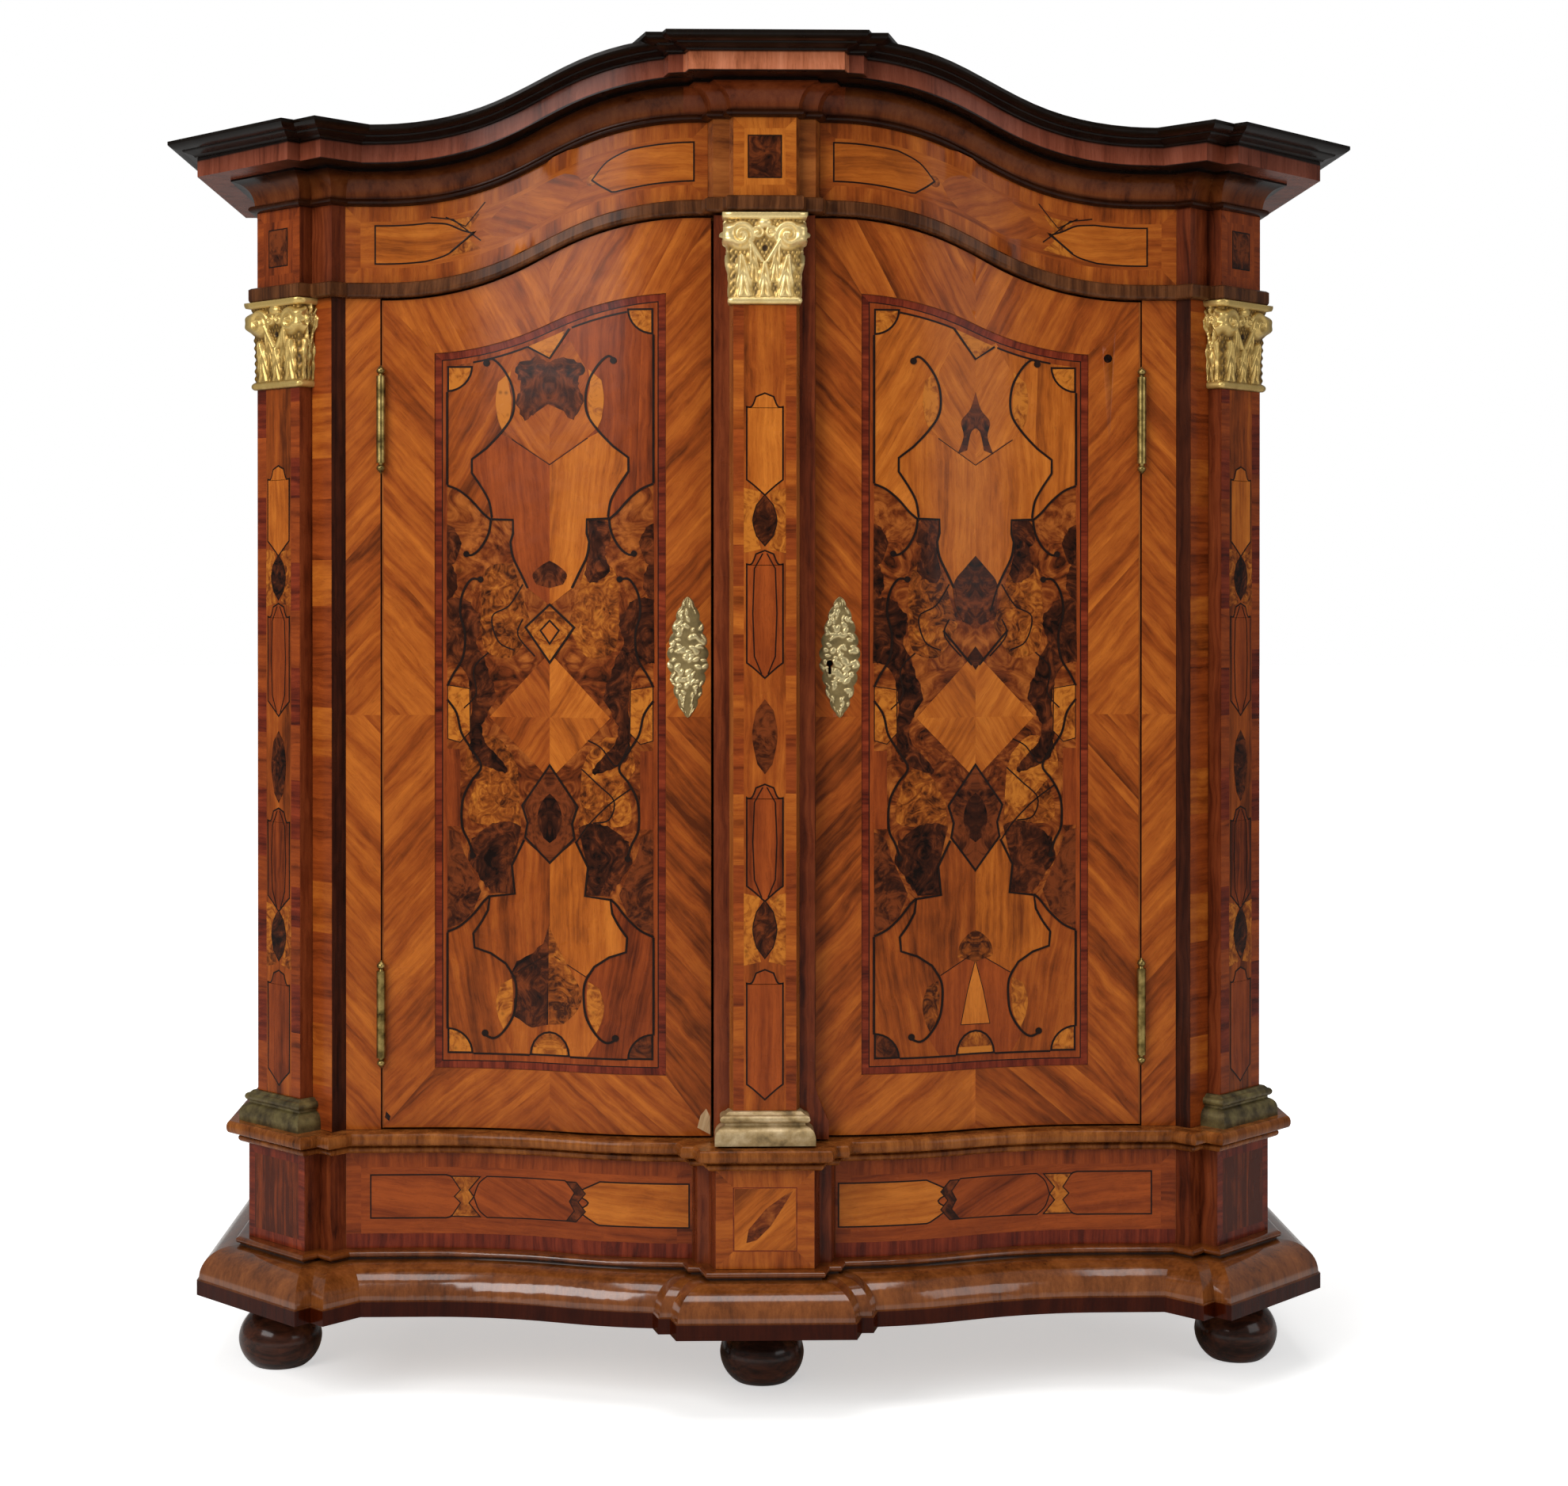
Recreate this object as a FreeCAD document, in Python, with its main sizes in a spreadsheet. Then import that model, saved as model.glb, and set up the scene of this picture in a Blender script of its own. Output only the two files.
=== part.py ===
import FreeCAD, Part
import math
import os
import Sketcher
from FreeCAD import Placement, Rotation, Vector

# Hall cupboard with two doors, serpentine in plan and arched in elevation.
# Every size is in millimetres. X runs along the front, Y runs from the front to the back, Z is up.
# Plan points are written with Y = 0 on the flat of the front face, beside the doors' hinges.

SIZES = {
    # Levels, counted from the floor
    "FootHeight": 133.0,
    "BaseHeight": 89.0,
    "PlinthHeight": 156.0,
    "PlinthMouldHeight": 36.0,
    "BodyHeight": 1344.0,
    "ArchitraveHeight": 24.0,
    "FriezeHeight": 124.0,
    "CorniceHeight": 108.0,
    # Half plan of the body: a stile, a return, a canted post and a canted pilaster
    "StileEdge": 674.0,
    "ReturnLeg": 19.0,
    "CantLeg": 37.0,
    "PilasterLeg": 17.0,
    "FaceLeg": 82.0,
    "PlinthCantLeg": 22.0,
    "PlinthPilasterLeg": 22.0,
    "PlinthFaceLeg": 108.0,
    "BodyDepth": 505.0,
    "BackThickness": 15.0,
    "SideThickness": 22.0,
    "PostThickness": 28.0,
    # Serpentine front and arched top
    "Bulge": 76.0,
    "OgeeOuter": 540.0,
    "OgeeInner": 105.0,
    "ArchRise": 124.0,
    "ArchOuter": 612.0,
    "ArchInner": 105.0,
    # Breaks in the middle of the front
    "BackingHalf": 81.0,
    "BackingProud": 29.0,
    "PilasterHalf": 50.0,
    "PilasterProud": 21.0,
    "PlinthBackingHalf": 106.0,
    "PlinthBlockHalf": 78.0,
    "PlinthBlockProud": 36.0,
    "BreakDepth": 16.0,
    # Mouldings
    "BaseOverhang": 80.0,
    "PlinthOverhang": 35.0,
    "ArchitraveOverhang": 14.0,
    "CorniceOverhang": 136.0,
    "RailThickness": 24.0,
    "BoardSetback": 48.0,
    "BoardThickness": 22.0,
    "BaseRailThickness": 25.0,
    # Doors
    "DoorGap": 3.5,
    "DoorThickness": 28.0,
    "DoorHinge": 615.0,
    "HingeGap": 2.0,
    "MeetingEdge": 84.0,
    "MeetingGap": 4.0,
    "PanelOuter": 530.0,
    "PanelInner": 156.0,
    "TopRailHeight": 86.0,
    "PanelRise": 91.0,
    "PanelArchOuter": 560.0,
    "PanelArchInner": 130.0,
    "BottomRailHeight": 96.0,
    "PanelThickness": 18.0,
    "PanelRecess": 2.0,
    # Gilded capitals and bases
    "CapitalHeight": 143.0,
    "CapitalOverhang": 17.0,
    "PilasterBaseHeight": 50.0,
    "PilasterBaseOverhang": 29.0,
    "CornerBaseOverhang": 22.0,
    "StripFlare": 22.0,
    "StripFlareHeight": 84.0,
    # Feet
    "FootRadius": 68.5,
    "FootNeckRadius": 42.0,
    "FootTreadRadius": 44.0,
    "FootBunHeight": 90.0,
    "FootDowelRadius": 15.0,
    "FootDowelLength": 18.0,
    "FootSide": 800.0,
    "FootFront": 130.0,
    "FootRear": 440.0,
    "FootCentre": 25.0,
    "DowelClearance": 0.2,
    # Inside
    "BaseBoardThickness": 20.0,
    "FloorThickness": 20.0,
    "TopThickness": 20.0,
    "TopDrop": 24.0,
    "ShelfThickness": 20.0,
    "ShelfFront": 54.0,
    "LowerShelf": 860.0,
    "UpperShelf": 1310.0,
    "ShelfClearance": 1.0,
    "BattenHeight": 30.0,
    "BattenThickness": 18.0,
    "BackRise": 1858.0,
    "BackEdge": 3.0,
    "BoardClearance": 0.5,
    # Hinges
    "HingeLow": 602.0,
    "HingeHigh": 1562.0,
    "BarrelHalf": 70.0,
    "BarrelRadius": 7.5,
    "FinialLength": 18.0,
    "PinRadius": 4.0,
    "PinClearance": 0.06,
    "PinReach": 45.0,
    "KnuckleGap": 0.4,
    "BarrelProud": 8.0,
    "LeafThickness": 2.0,
    "LeafDepth": 24.0,
    # Lock, bolts and plates
    "LockHeight": 1170.0,
    "KeyholeX": 105.0,
    "KeyholeRadius": 5.0,
    "KeyholeDrop": 17.0,
    "KeySlot": 4.0,
    "PlateX": 121.0,
    "PlateHeight": 1180.0,
    "PlateHalfWidth": 31.0,
    "PlateHalfHeight": 96.0,
    "PlateThickness": 3.0,
    "LockLeft": -72.0,
    "LockRight": 138.0,
    "LockHalfHeight": 62.0,
    "LockDepth": 30.0,
    "LockWall": 2.5,
    "LockBoltHeight": 30.0,
    "LockBoltDepth": 10.0,
    "LockBoltLength": 110.0,
    "LockBoltClearance": 0.3,
    "BoltX": 120.0,
    "BoltWidth": 16.0,
    "BoltDepth": 8.0,
    "BoltLength": 230.0,
    "BoltInset": 2.0,
    "BoltClearance": 0.4,
    "BoltGap": 6.2,
    "BoltSeat": 1.0,
    "KeeperWidth": 36.0,
    "KeeperFoot": 18.0,
    "GuideHeight": 24.0,
    "GuideWidth": 40.0,
    "GuideWall": 2.5,
    "GuideInset": 45.0,
    "KnobRadius": 7.0,
    "KnobLength": 14.0,
    "CutOverrun": 5.0,
}

SPLAY_ANGLE = 75.0
CORNER_ANGLE = 45.0
FULL_TURN = 360.0

# Profiles are shares of a moulding's overhang and height. A list holds the poles of a Bezier curve.
BOARD_SHARES = [(0.0, 0.0), (0.0, 1.0)]
BASE_SHARES = [
    (1.0, 0.0), (1.0, 0.28), (0.96, 0.29), [(0.97, 0.58), (0.70, 0.83), (0.30, 0.84)], (0.17, 0.85),
    (0.17, 0.88), [(0.28, 0.88), (0.29, 0.99), (0.17, 1.0)],
]
PLINTH_SHARES = [
    (0.20, 0.0), [(0.50, 0.0), (0.52, 0.27), (0.42, 0.29)], (0.36, 0.33), [(0.50, 0.41), (0.70, 0.45), (0.86, 0.46)],
    [(1.05, 0.50), (1.05, 0.95), (0.84, 1.0)],
]
ARCHITRAVE_SHARES = [
    (0.55, 0.0), [(0.90, 0.02), (1.0, 0.12), (1.0, 0.30)], (1.0, 0.90), (0.70, 1.0),
]
CORNICE_SHARES = [
    (0.03, 0.0), [(0.13, 0.01), (0.13, 0.10), (0.03, 0.11)], (0.03, 0.13),
    [(0.05, 0.34), (0.16, 0.44), (0.30, 0.46)], (0.30, 0.50), (0.67, 0.50), (0.67, 0.78),
    (0.70, 0.79), [(0.72, 0.85), (0.83, 0.83), (0.84, 0.88)], [(0.90, 0.88), (0.97, 0.90), (1.0, 0.95)],
    (1.0, 1.0),
]
CAPITAL_SHARES = [
    (0.05, 0.0), [(0.45, 0.01), (0.45, 0.06), (0.05, 0.07)], [(0.10, 0.40), (0.25, 0.75), (0.80, 0.84)],
    (0.84, 0.86), [(1.05, 0.88), (1.05, 0.98), (0.94, 1.0)],
]
PILASTER_BASE_SHARES = [
    (1.0, 0.0), (1.0, 0.15), [(1.02, 0.36), (0.88, 0.50), (0.60, 0.56)], (0.46, 0.59), (0.46, 0.66),
    [(0.80, 0.68), (0.80, 0.90), (0.44, 0.92)], (0.26, 1.0),
]

# Turned finial of a hinge in shares of the barrel's radius and the tip's length, then its ball.
FINIAL_SHARES = [(0.60, 0.0), (0.45, 0.18)]
BALL_SHARES = [(0.95, 0.52), (0.20, 0.92), (0.0, 1.0)]

# Radii of the two arcs of a bun foot in shares of its height, and the low end of the strip's flare.
BUN_ARC_SHARES = [0.62, 0.64]
TOE_SHARE = 0.33

# Outline of a scrolled key plate, from the top to the bottom of its right half.
KEY_PLATE_SHARES = [
    (0.0, 1.0), (0.20, 0.93), (0.30, 0.80), (0.58, 0.78), (0.80, 0.66), (0.62, 0.52), (0.74, 0.40),
    (1.0, 0.22), (0.86, 0.0), (1.0, -0.22), (0.74, -0.40), (0.62, -0.52), (0.80, -0.66), (0.58, -0.78),
    (0.30, -0.80), (0.20, -0.93), (0.0, -1.0),
]

FRONT_STATIONS = 10
TOUCH = 1e-6


class Length:
    """A length that knows its number and the expression that gives it in the sheet."""

    def __init__(self, value, text):
        self.value = value
        self.text = text

    def __add__(self, other):
        return Length(self.value + other.value, "(%s + %s)" % (self.text, other.text))

    def __sub__(self, other):
        return Length(self.value - other.value, "(%s - %s)" % (self.text, other.text))

    def __mul__(self, share):
        return Length(self.value * share, "(%s * %r)" % (self.text, share))

    def __truediv__(self, parts):
        return self * (1 / parts)

    def __neg__(self):
        return self * -1

    def __float__(self):
        return float(self.value)


class Sheet:
    """The spreadsheet of driving sizes, read as lengths by their names."""

    def __init__(self, document, sizes):
        self.table = document.addObject("Spreadsheet::Sheet", "Sizes")
        for row, (name, value) in enumerate(sizes.items(), start=1):
            self.table.set("A%d" % row, name)
            self.table.set("B%d" % row, str(value))
            self.table.setAlias("B%d" % row, name)
        document.recompute()

    def __getattr__(self, name):
        return Length(float(getattr(self.table, name)), "Sizes." + name)


doc = FreeCAD.newDocument("HallCupboard")
s = Sheet(doc, SIZES)
NOTHING = s.Bulge * 0
parts = {}

# Levels
BASE_Z = s.FootHeight
PLINTH_Z = BASE_Z + s.BaseHeight
PLINTH_MOULD_Z = PLINTH_Z + s.PlinthHeight
BODY_Z = PLINTH_MOULD_Z + s.PlinthMouldHeight
ARCHITRAVE_Z = BODY_Z + s.BodyHeight
FRIEZE_Z = ARCHITRAVE_Z + s.ArchitraveHeight
CORNICE_Z = FRIEZE_Z + s.FriezeHeight
TOP_Z = CORNICE_Z + s.CorniceHeight
DOOR_Z = BODY_Z + s.DoorGap
DOOR_TOP_Z = ARCHITRAVE_Z - s.DoorGap
PANEL_Z = DOOR_Z + s.BottomRailHeight
PANEL_TOP_Z = DOOR_TOP_Z - s.TopRailHeight

# The frame's origin is under the middle of the outermost box, so the plan is moved along Y.
FRONT_REACH = s.Bulge + s.BackingProud + s.PilasterProud + s.CorniceOverhang
FACE_Y = (FRONT_REACH - s.BodyDepth - s.BackThickness) / 2


def keep(name, feature):
    """Name a finished sub-part and move it from the plan to the frame."""
    feature.Label = name
    parts[name] = feature
    return feature


def solid(name, shape):
    """Hold a shape made by Part's functions as a sub-part."""
    feature = doc.addObject("Part::Feature", name)
    feature.Shape = shape.removeSplitter() if len(shape.Solids) == 1 else shape
    feature.Placement = Placement(Vector(0, float(FACE_Y), 0), Rotation())
    return keep(name, feature)


def bind(item, path, length):
    item.setExpression(path, length.text)


def place(feature, x, y, z):
    """Bind a sub-part's placement to the sheet, from a point of the plan."""
    bind(feature, "Placement.Base.x", x)
    bind(feature, "Placement.Base.y", y + FACE_Y)
    bind(feature, "Placement.Base.z", z)


# Serpentine line and arch


def ogee_drop(distance, run, rise):
    """Fall of a circular arc after a distance, for an S curve of two equal arcs."""
    half_run = run / 2
    half_rise = rise / 2
    radius = (half_run ** 2 + half_rise ** 2) / rise
    return radius - math.sqrt(radius ** 2 - distance ** 2)


def s_curve(x, outer, inner, rise):
    """Height of the S curve that is 0 beyond outer and rise inside inner."""
    x = abs(x)
    if x >= outer:
        return 0.0
    if x <= inner:
        return rise
    run = outer - inner
    if outer - x <= run / 2:
        return ogee_drop(outer - x, run, rise)
    return rise - ogee_drop(x - inner, run, rise)


def front_y(x):
    """Y of the serpentine front at x."""
    return -s_curve(x, s.OgeeOuter.value, s.OgeeInner.value, s.Bulge.value)


def arch_z(x):
    """Rise of the arch at x."""
    return s_curve(x, s.ArchOuter.value, s.ArchInner.value, s.ArchRise.value)


def panel_z(x):
    """Rise of the panels' flatter arch at x."""
    return s_curve(x, s.PanelArchOuter.value, s.PanelArchInner.value, s.PanelRise.value)


def graph_edges(function, outer, inner, start, end, point):
    """Lines and arcs along a graph from x = start to x = end, as edges through point(x, value)."""
    middle = (outer + inner) / 2
    low, high = min(start, end), max(start, end)
    marks = [m for m in (-outer, -middle, -inner, inner, middle, outer) if low < m < high]
    stops = [low] + marks + [high]
    if start > end:
        stops.reverse()
    edges = []
    for a, b in zip(stops, stops[1:]):
        ends = [point(x, function(x)) for x in (a, (a + b) / 2, b)]
        if ((ends[0] + ends[2]) / 2).distanceToPoint(ends[1]) < TOUCH:
            edges.append(Part.makeLine(ends[0], ends[2]))
        else:
            edges.append(Part.Arc(ends[0], ends[1], ends[2]).toShape())
    return edges


def front_edges(start, end, offset):
    """The serpentine line in plan, moved back by offset."""
    return graph_edges(front_y, s.OgeeOuter.value, s.OgeeInner.value, start, end,
                       lambda x, value: Vector(x, value + offset, 0))


def arch_edges(start, end, level):
    """The arch in elevation at a level."""
    return graph_edges(arch_z, s.ArchOuter.value, s.ArchInner.value, start, end,
                       lambda x, value: Vector(x, 0, value + level))


def panel_edges(start, end, level):
    """The top of a panel in elevation."""
    return graph_edges(panel_z, s.PanelArchOuter.value, s.PanelArchInner.value, start, end,
                       lambda x, value: Vector(x, 0, value + level))


def joined(edges):
    """A face from edges that follow each other, closed by straight lines where they leave gaps."""
    ring = []
    for edge, following in zip(edges, edges[1:] + edges[:1]):
        ring.append(edge)
        gap_start = edge.lastVertex(True).Point
        gap_end = following.firstVertex(True).Point
        if gap_start.distanceToPoint(gap_end) > TOUCH:
            ring.append(Part.makeLine(gap_start, gap_end))
    return Part.Face(Part.Wire(Part.__sortEdges__(ring)))


def polygon(points):
    """A face from straight lines through points."""
    return Part.Face(Part.makePolygon(list(points) + [points[0]]))


# Mouldings that run round the front, the canted corners and the sides


def plan_path(cant, pilaster, face):
    """Half plan from the stile's edge to the back, for one level."""
    a = (s.StileEdge.value, 0.0)
    b = (a[0] + s.ReturnLeg.value, a[1] - s.ReturnLeg.value)
    c = (b[0] + cant, b[1] + cant)
    d = (c[0] + pilaster, c[1] - pilaster)
    e = (d[0] + face, d[1] + face)
    return [a, b, c, d, e, (e[0], s.BodyDepth.value)]


BODY_PATH = plan_path(s.CantLeg.value, s.PilasterLeg.value, s.FaceLeg.value)
PLINTH_PATH = plan_path(s.PlinthCantLeg.value, s.PlinthPilasterLeg.value, s.PlinthFaceLeg.value)


def mitred(points):
    """Each point of a path with the vector that one unit of overhang moves it by."""
    normals = []
    for start, end in zip(points, points[1:]):
        run = math.dist(start, end)
        normals.append(((end[1] - start[1]) / run, (start[0] - end[0]) / run))
    stations = [(points[0], normals[0])]
    for point, before, after in zip(points[1:-1], normals, normals[1:]):
        scale = 1 + before[0] * after[0] + before[1] * after[1]
        stations.append((point, ((before[0] + after[0]) / scale, (before[1] + after[1]) / scale)))
    stations.append((points[-1], normals[-1]))
    return stations


def profile(shares, overhang, height, level, thickness):
    """Stretches of a moulding's outline in (overhang, z), closed behind the face."""
    stretches = []
    last = (-thickness, level)
    for item in shares + [(None, 1.0)]:
        if isinstance(item, list):
            points = [last] + [(p * overhang, level + z * height) for p, z in item]
            stretches.append(points)
        else:
            p, z = item
            points = [last, (-thickness if p is None else p * overhang, level + z * height)]
            if points[0] != points[1]:
                stretches.append(points)
        last = points[-1]
    stretches.append([last, (-thickness, level)])
    return stretches


def section(stretches, point, mitre, lift):
    """The edges of the moulding's outline standing on one point of the path."""
    edges = []
    for stretch in stretches:
        points = [Vector(point[0] + mitre[0] * p, point[1] + mitre[1] * p, z + lift) for p, z in stretch]
        if len(points) == 2:
            edges.append(Part.makeLine(points[0], points[1]))
        else:
            curve = Part.BezierCurve()
            curve.setPoles(points)
            edges.append(curve.toShape())
    return edges


def straight_face(near, far):
    """The face between two edges of neighbouring sections: a plane for lines, ruled for curves."""
    if near.Curve.TypeId != "Part::GeomLine":
        return Part.makeRuledSurface(near, far)
    ends = [near.firstVertex().Point, near.lastVertex().Point, far.lastVertex().Point, far.firstVertex().Point]
    return polygon(ends)


def swept(sections, smooth):
    """A solid through sections, in one smooth run or in flat stretches that meet in mitres."""
    faces = [Part.Face(Part.Wire(sections[0])), Part.Face(Part.Wire(sections[-1]))]
    for edges in zip(*sections):
        if smooth:
            faces += Part.makeLoft([Part.Wire([edge]) for edge in edges], False, False).Faces
        else:
            faces += [straight_face(near, far) for near, far in zip(edges, edges[1:])]
    shell = Part.makeShell(faces)
    shell.sewShape()
    body = Part.makeSolid(shell)
    return body.reversed() if body.Volume < 0 else body


def front_run(stretches, arched, reach):
    """The stretch between the two corners, along the serpentine line and the arch."""
    inner = s.OgeeInner.value

    def at(x):
        return section(stretches, (x, front_y(x)), (0.0, -1.0), arch_z(x) if arched else 0.0)

    steps = [(1 - math.cos(math.pi * i / FRONT_STATIONS)) / 2 for i in range(FRONT_STATIONS + 1)]
    curved = swept([at(inner + (reach - inner) * step) for step in steps], True)
    return swept([at(-inner), at(inner)], False).fuse([curved, mirrored(curved)])


def straight_run(stretches, path, lift=0.0):
    """A run along straight lines that meet in mitres."""
    stations = mitred(path)
    return swept([section(stretches, point, mitre, lift) for point, mitre in stations], False)


def moulded_block(stretches, path, lift):
    """A solid plan with a moulding round its free sides; the stretches have no thickness of their own."""
    shell = straight_run(stretches, path, lift)
    low, high = stretches[0][0][1], stretches[-1][0][1]
    core = polygon([Vector(x, y, low + lift) for x, y in path]).extrude(Vector(0, 0, high - low))
    return shell.fuse(core).removeSplitter()


def break_path(half, front, back):
    """Plan of a stretch that stands forward in the middle of the front, with splayed returns."""
    far = half + (back - front) / math.tan(math.radians(SPLAY_ANGLE))
    return [(-far, back), (-half, front), (half, front), (far, back)]


def mirrored(shape):
    return shape.mirror(Vector(0, 0, 0), Vector(1, 0, 0))


def ring(outline, thickness, path, arched, breaks):
    """A whole moulding: serpentine front, breaks in the middle, corners and sides.

    outline gives the moulding's stretches for a thickness behind the face."""
    reach = s.ArchOuter.value
    lift = s.ArchRise.value if arched else 0.0
    back = front_y(0) + s.BreakDepth.value
    front = front_run(outline(thickness), arched, reach)
    right = straight_run(outline(thickness), [(reach, 0.0)] + path)
    pieces = [right, mirrored(right)]
    for half, y in breaks:
        pieces.append(moulded_block(outline(0.0), break_path(half, y, back), lift))
    return front.fuse(pieces)


BACKING_Y = -(s.Bulge + s.BackingProud)
PILASTER_Y = BACKING_Y - s.PilasterProud
BLOCK_Y = BACKING_Y - s.PlinthBlockProud
BODY_BREAKS = [(s.BackingHalf.value, BACKING_Y.value), (s.PilasterHalf.value, PILASTER_Y.value)]
PLINTH_BREAKS = [(s.PlinthBackingHalf.value, BACKING_Y.value), (s.PlinthBlockHalf.value, BLOCK_Y.value)]


def outline_of(shares, overhang, height, level):
    """The stretches of a moulding as a function of its thickness behind the face."""
    return lambda thickness: profile(shares, overhang.value, height.value, level.value, thickness)


def base_and_plinth():
    """The base moulding, the plinth's boards and the moulding on top of them."""
    base = outline_of(BASE_SHARES, s.BaseOverhang, s.BaseHeight, BASE_Z)
    solid("base_moulding", ring(base, s.BaseRailThickness.value, PLINTH_PATH, False, PLINTH_BREAKS))
    top = outline_of(PLINTH_SHARES, s.PlinthOverhang, s.PlinthMouldHeight, PLINTH_MOULD_Z)
    solid("plinth_moulding", ring(top, s.RailThickness.value, PLINTH_PATH, False, PLINTH_BREAKS))
    boards = outline_of(BOARD_SHARES, s.BoardThickness, s.PlinthHeight, PLINTH_Z)(s.BoardThickness.value)
    solid("plinth_front", front_run(boards, False, s.ArchOuter.value).fuse(
        [flat_end(boards, 1), flat_end(boards, -1)]))
    side = corner_piece(boards, PLINTH_PATH)
    solid("plinth_side_right", side)
    solid("plinth_side_left", mirrored(side))
    solid("plinth_centre_block", centre_block(PLINTH_BREAKS, PLINTH_Z, s.PlinthHeight, NOTHING))


def flat_end(stretches, side):
    """The flat of a front board between the serpentine stretch and the corner's return."""
    stations = mitred([(s.ArchOuter.value, 0.0)] + BODY_PATH[:2])[:2]
    run = swept([section(stretches, point, mitre, 0.0) for point, mitre in stations], False)
    return run if side > 0 else mirrored(run)


def corner_piece(stretches, path):
    """A return, a canted post and face and a side board in one bent piece, on the right."""
    stations = mitred([(s.ArchOuter.value, 0.0)] + path)[1:]
    return swept([section(stretches, point, mitre, 0.0) for point, mitre in stations], False)


def centre_block(breaks, level, height, lift):
    """Backing and block glued on the middle of a front board."""
    back = front_y(0)
    bodies = []
    for half, front in breaks:
        face = polygon([Vector(x, y, level.value + lift.value) for x, y in break_path(half, front, back)])
        bodies.append(face.extrude(Vector(0, 0, height.value)))
    return bodies[0].fuse(bodies[1:])


def architrave_and_frieze():
    """The arched moulding over the doors and the frieze's boards on it."""
    rail = outline_of(ARCHITRAVE_SHARES, s.ArchitraveOverhang, s.ArchitraveHeight, ARCHITRAVE_Z)
    solid("architrave", ring(rail, s.RailThickness.value, BODY_PATH, True, BODY_BREAKS))
    boards = outline_of(BOARD_SHARES, s.BoardThickness, s.FriezeHeight, FRIEZE_Z)(s.BoardThickness.value)
    solid("frieze_front", front_run(boards, True, s.ArchOuter.value).fuse(
        [flat_end(boards, 1), flat_end(boards, -1)]))
    side = corner_piece(boards, BODY_PATH)
    solid("frieze_side_right", side)
    solid("frieze_side_left", mirrored(side))
    solid("frieze_centre_block", centre_block(BODY_BREAKS, FRIEZE_Z, s.FriezeHeight, s.ArchRise))


def cornice():
    """The arched cornice on top."""
    outline = outline_of(CORNICE_SHARES, s.CorniceOverhang, s.CorniceHeight, CORNICE_Z)
    solid("cornice", ring(outline, s.BoardThickness.value, BODY_PATH, True, BODY_BREAKS))


BOLT_Y = -s.Bulge + s.DoorThickness + s.BoltSeat


# Sketches and boards


def sketch(body, name, role, points, arcs=None):
    """A closed outline on one of the body's planes, each corner bound to the sheet.

    arcs maps a corner's number to the radius of the arc that leaves it, with the point it passes."""
    plane = [f for f in body.Origin.OriginFeatures if f.Role == role][0]
    outline = body.newObject("Sketcher::SketchObject", name)
    outline.AttachmentSupport = [(plane, "")]
    outline.MapMode = "FlatFace"
    flat = [Vector(float(x), float(y), 0) for x, y in points]
    arcs = arcs or {}
    for i, start in enumerate(flat):
        end = flat[(i + 1) % len(flat)]
        if i in arcs:
            outline.addGeometry(arc_through(start, end, arcs[i]), False)
        else:
            outline.addGeometry(Part.LineSegment(start, end), False)
    for i, (x, y) in enumerate(points):
        following = (i + 1) % len(points)
        outline.addConstraint(Sketcher.Constraint("Coincident", i, end_of(i, arcs), following,
                                                  start_of(following, arcs)))
        for kind, length in (("DistanceX", x), ("DistanceY", y)):
            index = outline.addConstraint(
                Sketcher.Constraint(kind, -1, 1, i, start_of(i, arcs), float(length)))
            bind(outline, "Constraints[%d]" % index, length)
    for i, (radius, side) in arcs.items():
        index = outline.addConstraint(Sketcher.Constraint("Radius", i, float(radius)))
        bind(outline, "Constraints[%d]" % index, radius)
    return outline


def start_of(i, arcs):
    return 2 if i in arcs and arcs[i][1] < 0 else 1


def end_of(i, arcs):
    return 1 if i in arcs and arcs[i][1] < 0 else 2


def arc_through(start, end, arc):
    """An arc of a given radius; it turns left on its way for side 1 and right for side -1."""
    radius, side = float(arc[0]), arc[1]
    chord = end - start
    middle = (start + end) * 0.5
    across = Vector(-chord.y, chord.x, 0).normalize()
    rise = math.sqrt(max(radius ** 2 - (chord.Length / 2) ** 2, 0))
    centre = middle + across * (rise * side)
    begin = math.atan2(start.y - centre.y, start.x - centre.x)
    finish = math.atan2(end.y - centre.y, end.x - centre.x)
    circle = Part.Circle(centre, Vector(0, 0, 1), radius)
    if side > 0:
        return Part.ArcOfCircle(circle, begin, finish)
    return Part.ArcOfCircle(circle, finish, begin)


def padded(name, role, points, height, arcs=None):
    """A body made by padding one outline."""
    body = doc.addObject("PartDesign::Body", name)
    outline = sketch(body, name + "_outline", role, points, arcs)
    pad = body.newObject("PartDesign::Pad", name + "_pad")
    pad.Profile = outline
    bind(pad, "Length", height)
    return keep(name, body)


def board(name, x0, x1, y0, y1, z, thickness):
    """A rectangular board lying flat."""
    body = padded(name, "XY_Plane", [(x0, y0), (x1, y0), (x1, y1), (x0, y1)], thickness)
    place(body, NOTHING, NOTHING, z)
    return body


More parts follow.
